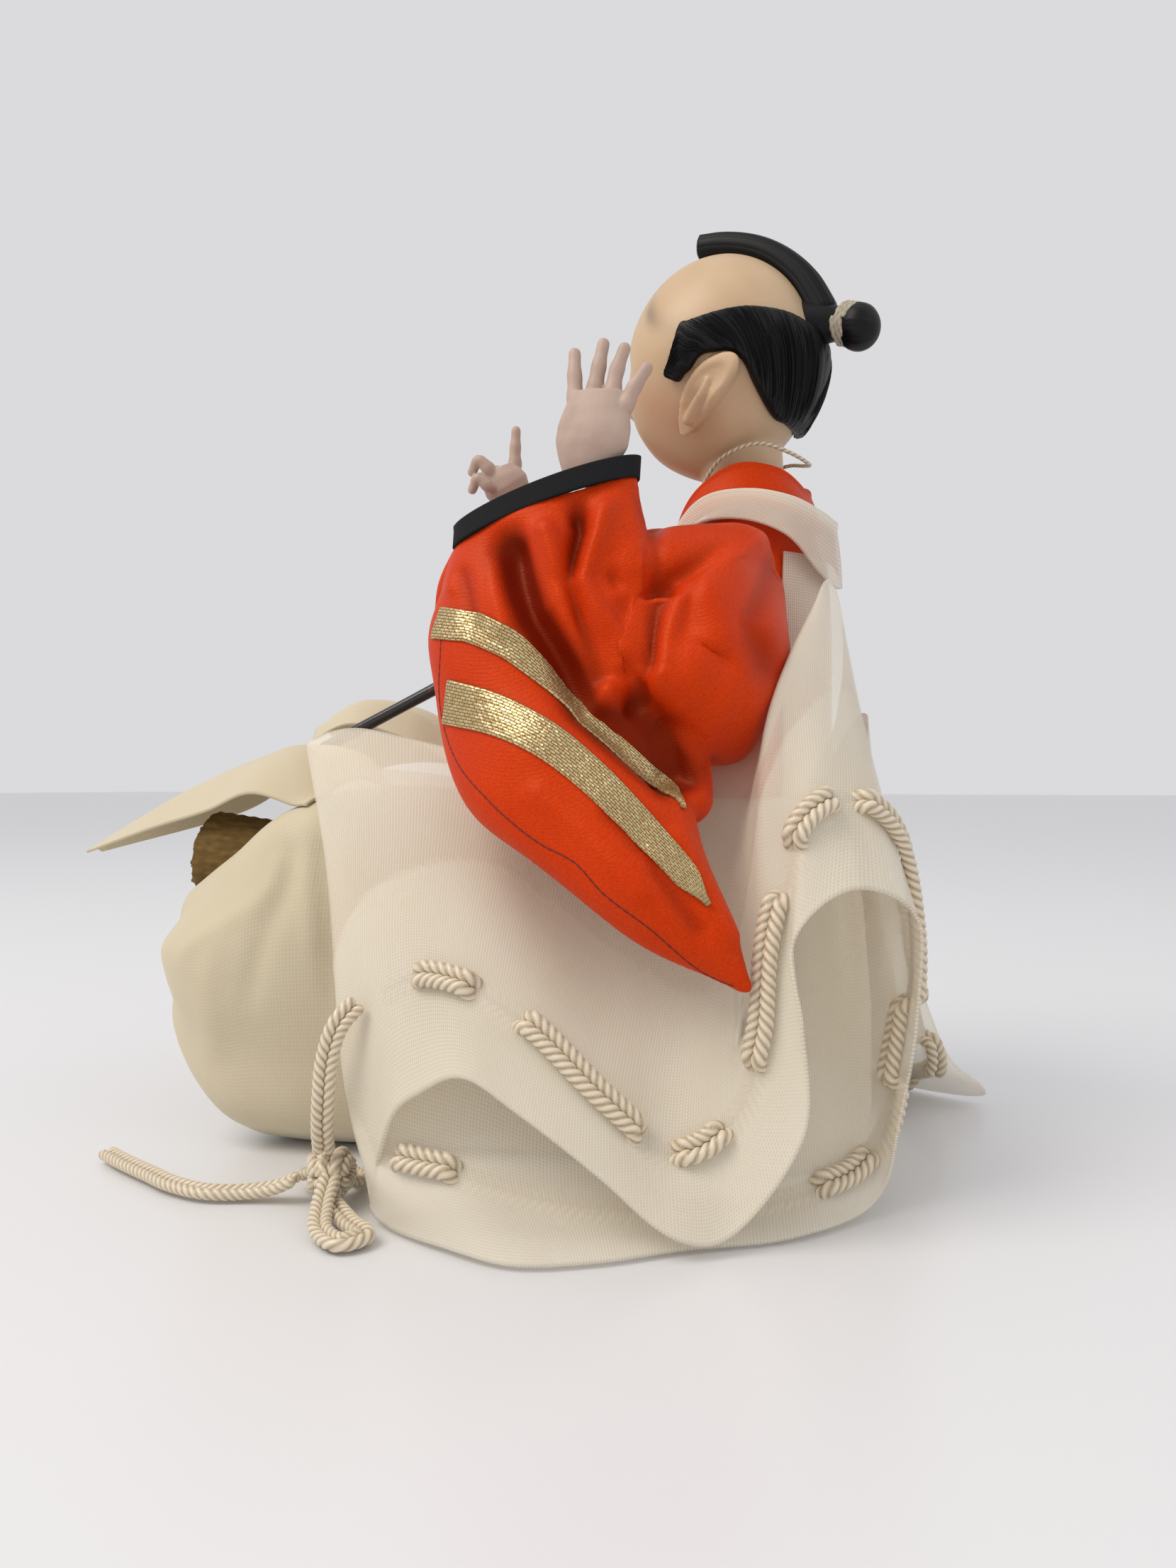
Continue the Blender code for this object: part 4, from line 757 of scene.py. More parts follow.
cordShape = {
    "plyRadius": 1.12, "spread": 0.98, "lobes": 3, "lobeDepth": 0.26, "pitch": 4.6, "sides": 16, "step": 0.22,
    "drop": ((76.5, -48.5, 38.5), (79.5, -50.5, 35), (81, -52, 29), (81.5, -52.5, 22), (80.3, -53.6, 15.5),
        (78.1, -54.9, 10.7)),
    "tail": ((77.2, -61.7, 5), (77.8, -65.5, 3.1), (80, -71.5, 1.9), (83, -78, 1.9), (82.6, -86, 1.9),
        (79.5, -96, 1.9), (76.5, -105, 1.9), (73, -114, 1.9)),
    "knotCentre": (75.5, -56.5, 6.2),
    "diameter": 3.0,
}


def plyParts(path, out, hand, shape, offset, phase=0.0):
    # A lobed section carried along the path: radius falls into the grooves between lobes, which turn once a pitch
    heading = unit(np.gradient(path, axis=0))
    side = unit(np.cross(heading, out))
    up = np.cross(side, heading)
    run = runLength(path)
    turn = np.linspace(0, 2 * math.pi, shape["sides"], endpoint=False)
    angle = turn[None, :] - hand * (2 * math.pi * run[:, None] / shape["pitch"]) + phase
    crown = np.abs(np.cos(angle * shape["lobes"] / 2))
    radius = shape["plyRadius"] * (1 - shape["lobeDepth"] + shape["lobeDepth"] * crown)
    ends = np.minimum(np.minimum(run, run[-1] - run) / shape["plyRadius"], 1.0)
    radius = radius * np.sqrt(np.clip(1 - (1 - ends) ** 2, 0.02, 1))[:, None]
    centre = path + side * offset * hand
    rings = (centre[:, None] + radius[..., None] * (np.cos(turn)[None, :, None] * side[:, None]
             + np.sin(turn)[None, :, None] * up[:, None]))
    parts = loftParts(rings)
    return parts, np.concatenate([crown.ravel(), [0.5, 0.5]])


def pairedCord(name, routes, shape):
    # routes holds for each stretch of cord its path and the way that its flat side faces
    parts, crowns = [], []
    for path, out in routes:
        count = max(int(runLength(path)[-1] / shape["step"]), 8)
        both = evenly(np.concatenate([path, out], axis=1), count)
        path, out = both[:, :3], unit(both[:, 3:])
        for hand in (1, -1):
            some, crown = plyParts(path, out, hand, shape, shape["spread"], phase=math.pi / 6 * hand)
            parts.append(some)
            crowns.append(crown)
    points, quads, fans, uv = joinParts(parts)
    made = outward(makeMesh(name, points, quads, fans, uv))
    # The crown share, which the cord material turns into painted shade in the grooves
    mark(made, "crown", np.concatenate(crowns))
    return made


def steadyOut(path, out):
    return np.repeat(np.array([out], float), len(path), 0)


dropPath = smoothCurve(cordShape["drop"], 200)
tailPath = smoothCurve(cordShape["tail"], 200)
leftDrop = pairedCord("left_drop", [(dropPath, steadyOut(dropPath, (0.8, 0.55, 0.25)))], cordShape)
leftTail = pairedCord("left_tail", [(tailPath, steadyOut(tailPath, (0.1, 0.1, 1.0)))], cordShape)
knotShape = dict(cordShape, step=0.26)
# The bow: three wraps over the middle, then one loop to each side and back
wrapTurn = np.linspace(0, 2 * math.pi, 60)
wraps = []
for shift, tilt in ((-1.5, 0.25), (1.3, -0.3), (3.4, -0.1)):
    ring = np.column_stack([3.1 * np.cos(wrapTurn), shift + tilt * 3.1 * np.cos(wrapTurn), 2.9 * np.sin(wrapTurn)])
    turned = np.column_stack([ring[:, 0] * 0.9 - ring[:, 1] * 0.4, ring[:, 0] * 0.4 + ring[:, 1] * 0.9, ring[:, 2]])
    wraps.append((turned + np.array(cordShape["knotCentre"]), unit(turned)))
loops = []
for loopPoints in (((74, -59, 6), (70.5, -64.5, 3.4), (66, -65, 2.4), (63, -61, 2), (65, -56.5, 2.2), (73, -55.5, 4)),
        ((77, -54, 7), (84.5, -50.5, 3.6), (91, -45.5, 2), (93, -40, 1.9), (89.5, -38.5, 1.9),
        (85, -44.5, 1.9), (78, -55, 3))):
    path = smoothCurve(loopPoints, 200)
    path[:, 2] = np.maximum(path[:, 2], 1.15)
    loops.append((path, steadyOut(path, (0.25, 0.15, 1.0))))
leftKnot = pairedCord("left_bow_knot", wraps + loops, knotShape)
for piece, node in ((leftDrop, "left_cord_drop"), (leftTail, "left_cord_tail"), (leftKnot, "left_cord_knot")):
    dress(piece, cordSilk, "cream_cord", node)
print("free cord laid")

# Head: skull and face as one round surface, neck and ears melted into it

headShape = {
    "centre": (0, -4.3, 170), "halfWidth": 21.2, "faceDepth": 22,
    "napeDepth": 20.8, "halfHeight": 24.6,
    "neck": ((0, 0.3, 128.05), (0, 0, 140), (0, -1, 152), (0, -1.6, 160)), "neckRadii": (8.6, 8.6, 9.2, 9.0),
    "earCentre": (18.2, -2.7, 158.9), "earHalf": (7.2, 4), "earLean": 0.72,
    "voxel": 0.42,
}


def headSurface(azimuth, elevation, extra=0.0):
    # An ellipsoid, narrower below, with soft bells added for nose, bridge, cheeks, lips and chin
    shape = headShape
    x = np.sin(azimuth) * np.cos(elevation)
    y = -np.cos(azimuth) * np.cos(elevation)
    z = np.sin(elevation)
    low, front = np.clip(-z, 0, 1), np.clip(-y, 0, 1)
    px = x * shape["halfWidth"] * (1 - 0.14 * low ** 1.6)
    py = y * np.where(y > 0, shape["napeDepth"] * (1 - 0.30 * low ** 1.4), shape["faceDepth"] * (1 - 0.03 * low))
    pz = z * shape["halfHeight"] - 0.6 * front * low
    nose = np.exp(-(px / 2.2) ** 2 - ((pz + 5.5) / 3.6) ** 2) * front
    bridge = np.exp(-(px / 2.6) ** 2 - ((pz - 1.5) / 5.0) ** 2) * front
    sockets = np.exp(-((np.abs(px) - 8.0) / 4.2) ** 2 - ((pz - 0.5) / 3.0) ** 2) * front
    cheeks = np.exp(-((np.abs(px) - 10.0) / 5.0) ** 2 - ((pz + 8.0) / 5.5) ** 2) * front
    lips = np.exp(-(px / 3.8) ** 2 - ((pz + 12.0) / 1.9) ** 2) * front
    chin = np.exp(-(px / 5.0) ** 2 - ((pz + 19.5) / 3.4) ** 2) * front
    jowls = np.exp(-((np.abs(px) - 9.0) / 7.5) ** 2 - ((pz + 17.0) / 6.5) ** 2) * front
    py = py - 2.4 * jowls - 3.4 * nose - 1.0 * bridge + 1.1 * sockets - 0.7 * cheeks - 0.9 * lips - 1.3 * chin
    points = np.stack([px, py, pz], axis=-1)
    length = np.linalg.norm(points, axis=-1, keepdims=True)
    return np.array(shape["centre"]) + points * (1 + np.asarray(extra)[..., None] / length)


def earForm(side):
    # Loops of an ear from its root out over the rim and down into the bowl, all leaning back with height
    shape = headShape
    loops = smoothCurve(((-3.0, 0.7, 0), (1.2, 0.98, 0), (3.0, 1.02, 0), (3.9, 0.9, 0), (3.8, 0.74, 0),
                         (3.1, 0.56, 0), (2.9, 0.3, 0)), 16)
    turn = np.linspace(0, 2 * math.pi, 40, endpoint=False)
    tall, wide = shape["earHalf"]
    up = tall * loops[:, 1:2] * np.cos(turn)[None]
    back = wide * loops[:, 1:2] * np.sin(turn)[None] * (1.25 + 0.5 * np.cos(turn)[None]) + shape["earLean"] * up
    # The rim curls furthest along the top and back, and dies out into the lobe
    curl = 0.25 + 0.75 * smoothStep(np.cos(turn - 0.5), -0.9, 0.5)[None]
    reach = np.where(loops[:, :1] > 0.6, 0.6 + (loops[:, :1] - 0.6) * curl, loops[:, :1])
    # the lobe follows the cheek in
    x = shape["earCentre"][0] + reach + 0.1 * back - 0.35 * np.maximum(-up - 1, 0)
    rings = np.stack([side * x, shape["earCentre"][1] + back, shape["earCentre"][2] + up], axis=-1)
    return rings


turn = np.linspace(0, 2 * math.pi, 96, endpoint=False)
skull = headSurface(turn[None, :] + np.zeros((70, 1)), np.radians(np.linspace(-86, 86, 70))[:, None]
                    + np.zeros((1, 96)))
neckPath = smoothCurve(headShape["neck"], 20)
neckRadii = np.interp(np.linspace(0, 3, 20), range(4), headShape["neckRadii"])
earRidges = [tubeRings(smoothCurve(np.array(headShape["earCentre"]) * (side, 1, 1)
                                   + np.array(((0.9, -3.4, -4.6), (2.2, -1.4, -2.2), (3.1, 0.8, 0.6), (2.9, 1.6, 2.4)))
                                   * (side, 1, 1), 16), np.linspace(1.3, 0.8, 16), 14, roundEnds=True)
             for side in (1, -1)]
head = fuseForms("gofun_head", [skull, tubeRings(neckPath, neckRadii, 40), earForm(1), earForm(-1)] + earRidges,
                 headShape["voxel"], 3)
spots = readPoints(head) - np.array(headShape["centre"])
sideways = np.abs(spots[:, 0])
cheekRed = np.exp(-((sideways - 15.0) / 5.5) ** 2 - ((spots[:, 2] + 12.0) / 6.5) ** 2
                  - ((spots[:, 1] + 10.0) / 9.0) ** 2)
# Painted shade under the chin, mixed into the same mark as the cheek rouge
underChinShade = np.exp(-((spots[:, 2] + 24.0) / 3.0) ** 2) * smoothStep(-spots[:, 1], -6, 6)
mark(head, "blush_and_chin_shade", 0.55 * cheekRed + 0.4 * underChinShade)
browRise = spots[:, 2] - 8.8 + 1.3 * (sideways - 16.4)
mark(head, "brow", 0.75 * np.exp(-((sideways - 16.4) / 3.2) ** 2 - (browRise / 1.7) ** 2) * (spots[:, 1] < 0))
earRise = spots[:, 2] + 11.1
bowl = np.exp(-((sideways - 20.6) / 1.6) ** 2 - ((spots[:, 1] - 1.4 - headShape["earLean"] * earRise) / 1.9) ** 2
              - (earRise / 4.0) ** 2)
band = np.exp(-((spots[:, 2] + 36.5) / 2.5) ** 2) * (sideways < 11)
mark(head, "shade", 0.5 * bowl + 0.25 * band)
dress(head, gofun, "gofun_skin", "head")


def facePatch(name, middle, reach, finish, slot, lift=0.12, power=1.0):
    # A thin lens of colour on the face: an ellipse of angles, its rim sunk into the skin
    r, t = np.meshgrid(np.linspace(0.08, 1, 7), np.linspace(0, 2 * math.pi, 28, endpoint=False), indexing="ij")
    azimuth = math.radians(middle[0]) + np.radians(reach[0]) * r * np.cos(t)
    narrow = 1 - power * np.abs(r * np.cos(t)) ** 3
    elevation = math.radians(middle[1]) + np.radians(reach[1]) * r * np.sin(t) * narrow
    top = headSurface(azimuth, elevation, lift * (1 - r ** 4) - 0.1 * r ** 4)
    low = headSurface(azimuth[::-1], elevation[::-1], np.full_like(r, -0.35))
    made = loftMesh(name, np.concatenate([top, low]))
    return dress(made, finish, slot)


inkBlack, lipRed = paintInk("ink_line", "#1C1613", 0.45), paintInk("beni_lip_red", "#A83A2C", 0.45)
for side, name in ((1, "left"), (-1, "right")):
    facePatch(name + "_eye_line", (side * 22.0, 1.5), (8.6, 1.9), inkBlack, "black_facing", 0.14, 0.75)
facePatch("lips", (0.0, -29.0), (7.0, 3.0), lipRed, "gofun_skin", 0.14, 0.6)
print("head shaped")

# Hair: combed silk round sides and back, the lock over the crown, its paper tie and the bun

hairShape = {
    "azimuths": (74, 77, 80, 84, 88, 93, 104, 111, 119, 126, 139, 153, 166, 180),
    "top": (-12.5, -8, -2, 8, 8.8, 9.6, 11.5, 12.8, 14, 14.3, 14.5, 13.5, 12, 11.5),
    "low": (-14.5, -16.5, -18, -15.5, -13.5, -9, -7, -7, -11.5, -19.5, -29.5, -35, -35.5, -36),
    "lift": 0.3, "thick": 1.9, "strands": 520,
    "strip": ((0, -10.3, 198.6), (0, -4.6, 198.2), (0, 4.5, 195.3), (0, 10.8, 190.9), (0, 14.7, 186.6),
        (0, 17, 182.6), (0, 19, 178.6)), "stripWidth": 6.5, "stripThick": 4.9,
    "bun": (5, 4.6, 5), "bunCentre": (0, 25.3, 175.2),
}


def hairEdges(samples):
    angles = np.array(hairShape["azimuths"], float)
    both = np.concatenate([angles, 360 - angles[-2::-1]])
    edges = np.column_stack([np.concatenate([hairShape[k], hairShape[k][-2::-1]]) for k in ("top", "low")])
    return hermite(edges.astype(float), both, samples)


def hairSurface(azimuth, share, extra):
    # Between the two hair lines; the comb draws every strand up and back, so its azimuth slides with its height
    edges = hairEdges(azimuth.ravel())
    top, low = edges[:, 0].reshape(azimuth.shape), edges[:, 1].reshape(azimuth.shape)
    return headSurface(np.radians(azimuth), np.radians(low + (top - low) * share), extra)


across = np.concatenate([np.linspace(74.2, 80, 14), np.linspace(80.6, 279.4, 240), np.linspace(280, 285.8, 14)])
share = np.concatenate([[0, 0.02, 0.05, 0.09], np.linspace(0.13, 0.87, 34), [0.91, 0.95, 0.98, 1]])
azimuthGrid, shareGrid = np.meshgrid(across, share)
edgeThin = np.sqrt(np.clip(1 - (2 * shareGrid - 1) ** 10, 0.03, 1))
combed = azimuthGrid - 22 * shareGrid * np.sign(azimuthGrid - 180)
comb = 0.05 * np.sin(np.radians(combed) * 62) + 0.05 * np.sin(np.radians(combed) * 97 + 1.0) \
    + 0.07 * np.sin(np.radians(combed) * 17 + 2.0)
hairOuter = hairSurface(azimuthGrid, shareGrid, hairShape["lift"] + (hairShape["thick"] + comb) * edgeThin)
hairInner = hairSurface(azimuthGrid, shareGrid, np.full_like(shareGrid, hairShape["lift"]))
hairTable = np.stack([np.pad(combed * 0.37, ((0, 0), (0, 1)), mode="edge"),
                      np.pad(shareGrid * 20, ((0, 0), (0, 1)), mode="edge")], axis=-1)
hairShell = clothShell("combed_side_hair", hairOuter, hairInner, table=hairTable)
dress(hairShell, hairSilk, "black_silk_hair", "side_hair")

chance = np.random.default_rng(7)


def strandMesh(name, paths, radius):
    # Many three-sided strands as one mesh: rings of three points round every path at once
    count, steps = paths.shape[:2]
    heading = unit(np.gradient(paths, axis=1))
    outwards = unit(paths - np.array(headShape["centre"]))
    side = unit(np.cross(heading, outwards))
    up = np.cross(side, heading)
    turn = np.radians([90, 210, 330])
    thin = radius * np.sin(np.linspace(0.25, math.pi - 0.25, steps))[None, :, None, None]
    rings = paths[:, :, None] + thin * (np.cos(turn)[None, None, :, None] * side[:, :, None]
                                        + np.sin(turn)[None, None, :, None] * up[:, :, None])
    quads, _ = gridQuads(steps, 3, True)
    first = (np.arange(count) * steps * 3)[:, None, None]
    ends = np.array([[2, 1, 0], [(steps - 1) * 3, (steps - 1) * 3 + 1, (steps - 1) * 3 + 2]])
    return outward(makeMesh(name, rings.reshape(-1, 3), (quads[None] + first).reshape(-1, 4),
                            (ends[None] + first).reshape(-1, 3), np.zeros(((len(quads)) * count, 4, 2))))


n = hairShape["strands"]
starts = chance.uniform(76, 178, n)
starts = np.where(chance.uniform(0, 1, n) < 0.5, starts, 360 - starts)
t = np.linspace(0, 1, 12)[None, :]
firstShare, lastShare = chance.uniform(0.0, 0.35, n)[:, None], chance.uniform(0.6, 1.0, n)[:, None]
shares = firstShare + (lastShare - firstShare) * t
slide = 22 * (shares - firstShare) * np.sign(starts - 180)[:, None]
strandAzimuth = np.clip(starts[:, None] + slide, 75, 285)
lift = hairShape["lift"] + hairShape["thick"] * np.sqrt(np.clip(1 - (2 * shares - 1) ** 10, 0.03, 1))
wisps = hairSurface(strandAzimuth, shares, lift + 0.02 + chance.uniform(0, 0.16, n)[:, None])
dress(strandMesh("combed_strands", wisps, 0.11), hairSilk, "black_silk_hair")


def lockRings(path, width, thick, sides, grooves):
    # A flat oval section whose top and bottom are cut by shallow grooves along the lock
    heading = unit(np.gradient(path, axis=0))
    side = np.repeat(np.array([[1.0, 0, 0]]), len(path), 0)
    up = np.cross(side, heading)
    turn = np.linspace(0, 2 * math.pi, sides, endpoint=False)
    grow = 1 + 0.014 * np.cos(turn * grooves)[None, :] + 0.01 * np.cos(turn * grooves * 2.3 + 1)[None, :]
    run = np.linspace(0, 1, len(path))
    ends = np.sqrt(np.clip(1 - (1 - np.minimum(np.minimum(run * 60 + 0.35, (1 - run) * 20), 1)) ** 2, 0.05, 1))[:, None]
    # It thickens towards the tie, all of it on the side of the skull
    deeper = 0.9 + 1.3 * smoothStep(run, 0.35, 0.95)[:, None]
    path = path - up * deeper / 2 * np.sign(up[len(path) // 2] @ np.array((0, 0, 1.0)))
    a = width / 2 * grow * ends
    b = (thick + deeper) / 2 * grow * ends
    power = 0.8
    cosine = (np.sign(np.cos(turn)) * np.abs(np.cos(turn)) ** power)[None, :]
    sine = (np.sign(np.sin(turn)) * np.abs(np.sin(turn)) ** power)[None, :]
    return path[:, None] + (a * cosine)[..., None] * side[:, None] + (b * sine)[..., None] * up[:, None]


lock = loftMesh("topknot_lock", lockRings(smoothCurve(hairShape["strip"], 70), hairShape["stripWidth"],
                                          hairShape["stripThick"], 96, 15))
polar = np.radians(np.linspace(-87, 87, 48))[:, None]
roundTurn = np.linspace(0, 2 * math.pi, 96, endpoint=False)[None, :]
folded = 1 + 0.008 * np.cos(12 * roundTurn + 3.0 * polar) + 0.006 * np.cos(29 * roundTurn + 5 * polar)
bunGrid = np.array(hairShape["bunCentre"]) + np.stack([
    hairShape["bun"][0] * np.cos(polar) * np.cos(roundTurn) * folded,
    hairShape["bun"][1] * np.sin(polar) * np.ones_like(roundTurn),
    hairShape["bun"][2] * np.cos(polar) * np.sin(roundTurn) * folded], axis=-1)
bun = loftMesh("topknot_bun_wound", bunGrid)
dress(lock, hairSilk, "black_silk_hair", "topknot_strip")
dress(bun, hairSilk, "black_silk_hair", "topknot_bun")
rootPath = smoothCurve(((0, 13.5, 177.2), (0, 18, 177.0), (0, 22, 176.4)), 20)
root = loftMesh("topknot_root", tubeRings(rootPath, np.linspace(5.4, 3.3, 20), 60))
dress(root, hairSilk, "black_silk_hair")

tieShape = {"centre": (0, 21.8, 176.5), "tilt": 76, "inner": 3.5, "radius": 0.6, "turns": 3}
along = np.linspace(0, 2 * math.pi * tieShape["turns"], 260)
tilt = math.radians(tieShape["tilt"])
# Three turns side by side round the lock, pulled together into a point on each flank
pinch = 0.6 + 0.4 * np.abs(np.sin(along))
radial = np.column_stack([np.cos(along), np.sin(along) * math.cos(tilt), np.sin(along) * math.sin(tilt)])
axis = np.array([0.0, -math.sin(tilt), math.cos(tilt)])
# the top of the ring leans forward of its foot
shift = (along / (2 * math.pi) - tieShape["turns"] / 2) * 1.1 - 1.6 * np.abs(np.sin(along)) ** 1.5
tiePath = np.array(tieShape["centre"]) + radial * (tieShape["inner"] + tieShape["radius"]) \
    + axis[None] * (shift * pinch)[:, None]
tieSides = 10
heading, firstWay, secondWay = pathFrames(tiePath, axis)
turnTie = np.linspace(0, 2 * math.pi, tieSides, endpoint=False)
twist = 1 + 0.14 * np.cos(2 * (turnTie[None, :] - runLength(tiePath)[:, None] * 2 * math.pi / 3.2))
tieRings = tiePath[:, None] + (tieShape["radius"] * twist)[..., None] * (
    np.cos(turnTie)[None, :, None] * firstWay[:, None] + np.sin(turnTie)[None, :, None] * secondWay[:, None])
dress(loftMesh("paper_tie", tieRings), washi, "tie_paper", "topknot_tie")
print("hair combed")

# Hands: palm and fingers melted together

handShape = {
    "leftPalm": ((47.3, -16, 136.3), (47.2, -15.8, 141), (47.1, -15, 146), (47, -14.2, 151), (47, -14, 153)),
    "leftFingers": (
        ((47, -18.4, 150.5), (46.8, -19.2, 156), (46, -19.6, 161.4)),
        ((47, -15, 152), (46.6, -14.3, 157.5), (46, -13.5, 162.4)),
        ((47, -11.6, 151.5), (46.8, -10.4, 156.5), (46.2, -9, 160.8)),
        ((47, -9.2, 149), (47, -6.6, 153), (46.8, -4.2, 156.2)),
        ((44, -13, 143), (40.8, -15, 147), (39, -17, 151))),
    "rightPalm": ((-18, -66.2, 148.4), (-17.6, -67, 150.4), (-16.6, -68.4, 153.5), (-15, -69.8, 157),
        (-14.4, -70.4, 159)),
    "rightFingers": (((-16.5, -67, 158), (-16.2, -66.4, 163), (-16, -66, 168.5)), ((-12.5, -71.5, 158),
        (-10.8, -74, 160.5), (-11.6, -76.4, 158)), ((-12.8, -71.5, 154), (-11, -74.2, 156),
        (-12, -76.6, 153.6)), ((-19, -69.5, 157), (-18.4, -73.5, 159.5), (-18.4, -76.2, 157)),
        ((-20, -66, 152), (-23, -69, 155), (-22.5, -72.5, 157.5))),
    "leftRadii": (4.8, 6.2, 7.6, 7.6, 6.8, 5.4), "rightRadii": (4.6, 4.8, 5.6, 6.2, 5.6, 4.0),
    "flat": (0.5, 0.62), "fingerRadii": (1.95, 1.85, 1.65, 1.5, 1.35, 1.15), "voxel": 0.27,
}
for prefix, flat in zip(("left", "right"), handShape["flat"]):
    palm = smoothCurve(handShape[prefix + "Palm"], 20)
    palmRadii = np.interp(np.linspace(0, 5, 20), range(6), handShape[prefix + "Radii"])
    forms = [tubeRings(palm, palmRadii, 32, flat)]
    for finger in handShape[prefix + "Fingers"]:
        root = np.array(finger[0]) * 0.6 + palm[11] * 0.4
        fingerPath = smoothCurve(np.vstack([root, finger]), 18)
        radii = np.interp(np.linspace(0, 5, 18), range(6), handShape["fingerRadii"])
        radii = radii * (1 + 0.06 * np.cos(np.linspace(0, 3 * 2 * math.pi, 18)))
        forms.append(tubeRings(fingerPath, radii, 16, roundEnds=True))
    hand = fuseForms(prefix + "_hand_gofun", forms, handShape["voxel"], 3)
    dress(hand, handGofun, "gofun_skin", prefix + "_hand")
print("hands modelled")

# Kimono sleeves: padded upper arm and a pointed bag that hangs below the forearm

sleeveShape = {
    "leftBag": (((53, -42, 125), (54, -45, 117), (57, -46, 105), (61, -41, 88), (66, -32, 74), (68, -19, 65),
        (68, -6, 56), (65, 6, 48), (60, 19, 42)), ((45, -7, 137), (46, -4.5, 124), (46.5, -3.5, 110),
        (47, -3, 98), (50, 1, 89), (53, 7, 76), (57, 12, 64), (59, 17, 53), (60, 21, 43))),
    "rightBag": (((-6, -77, 140), (-4, -82, 127), (-4, -83, 113), (-9, -79, 100), (-18, -68, 92), (-28, -52, 94),
        (-38, -34, 90), (-44, -20, 84), (-48, -12, 77)), ((-25, -56, 149), (-30, -44, 136), (-36, -30, 126),
        (-41, -18, 116), (-45, -9, 107), (-48, -3, 101), (-50, -1, 95), (-50, -4, 87), (-49, -10, 78))),
    "half": (6.5, 8.5, 10, 10.5, 10, 8.5, 6.5, 4, 1),
    "leftArm": ((22.5, 3.5, 117), (28, 3.5, 111), (35, 3, 102), (40, 1.5, 95), (42, -1, 100), (42, -2, 112)),
    "leftRadii": (12.5, 14.5, 16.5, 15.5, 12, 9),
    "rightArm": ((-22.5, 1, 116), (-28, -2, 114), (-34, -7, 113), (-38, -15, 115), (-37, -27, 121)),
    "rightRadii": (10, 12, 13, 12, 9),
    "leftShoulder": ((26.5, 5, 120.5), (33, 1.5, 120), (39, -4, 118), (42, -10, 116)),
    "leftCrease": ((36, -6, 119), (41.5, -4.5, 108), (45.8, 0, 92), (50, 5, 75)),
    "rightCrease": ((-36, -24, 122), (-39, -18, 113), (-43, -11, 104), (-46.5, -7, 96)),
    "rightShoulder": ((-27, 0, 116), (-32, -5, 116), (-36, -12, 117)),
    "voxel": 0.6, "trunkHalf": (23, 15.2), "trunkY": 2,
    "trunkRings": ((66, 1, 1), (80, 1, 1), (96, 1, 1), (110, 1, 1), (119, 0.96, 0.98), (126, 0.84, 0.95),
        (131, 0.68, 0.87), (135, 0.56, 0.8)),
}


def bagSurface(edges, s, t, side=1.0, extra=0.0):
    # Station s runs from cuff to tip, share t from front to back edge; the face swells as a flattened arch
    frontEdge, backEdge = (np.array(edge, float) for edge in edges)
    knots = np.arange(len(frontEdge), dtype=float)
    s, t = np.broadcast_arrays(np.asarray(s, float), np.asarray(t, float))
    shape = s.shape
    s = np.clip(s.ravel(), 0, knots[-1])
    t = t.ravel()[:, None]

    def chord(at):
        near, far = hermite(frontEdge, knots, at), hermite(backEdge, knots, at)
        return near, far - near

    near, reach = chord(s)
    ahead, behind = chord(np.clip(s + 0.4, 0, knots[-1])), chord(np.clip(s - 0.4, 0, knots[-1]))
    run = ahead[0] + ahead[1] / 2 - behind[0] - behind[1] / 2
    out = unit(np.cross(run, reach))
    out = out * np.sign(np.sum(out * (frontEdge.mean(axis=0) * (1, 0, 0)), axis=1, keepdims=True))
    half = hermite(np.array(sleeveShape["half"])[:, None], knots, s)
    swell = half * (4 * t * (1 - t)) ** 0.62 + np.asarray(extra).reshape(-1, 1)
    return (near + reach * t + out * swell * side).reshape(*shape, 3)


def bagRings(edges, stations, points=44, extra=0.0):
    shares = (1 - np.cos(np.linspace(0, math.pi, points))) / 2
    s = np.asarray(stations, float)[:, None]
    near = bagSurface(edges, s, shares[None, :], 1, extra)
    far = bagSurface(edges, s, shares[None, -2:0:-1], -1, extra)
    return np.concatenate([near, far], axis=1)


def trunkSize(height):
    table = np.array(sleeveShape["trunkRings"])
    return (sleeveShape["trunkHalf"][0] * np.interp(height, table[:, 0], table[:, 1]),
            sleeveShape["trunkHalf"][1] * np.interp(height, table[:, 0], table[:, 2]))


def offTrunk(points, extra):
    # A sleeve's root is pressed to the outside of the bodice: points inside its oval move out to it
    halfX, halfY = trunkSize(points[:, 2])
    halfX, halfY = halfX + extra, halfY + extra
    x, y = points[:, 0] / halfX, (points[:, 1] - sleeveShape["trunkY"]) / halfY
    reach = np.maximum(np.hypot(x, y), 1e-6)
    inside = (reach < 1) & (points[:, 2] < 139)
    moved = points.copy()
    moved[inside, 0] = (x / reach * halfX)[inside]
    moved[inside, 1] = (y / reach * halfY)[inside] + sleeveShape["trunkY"]
    return moved


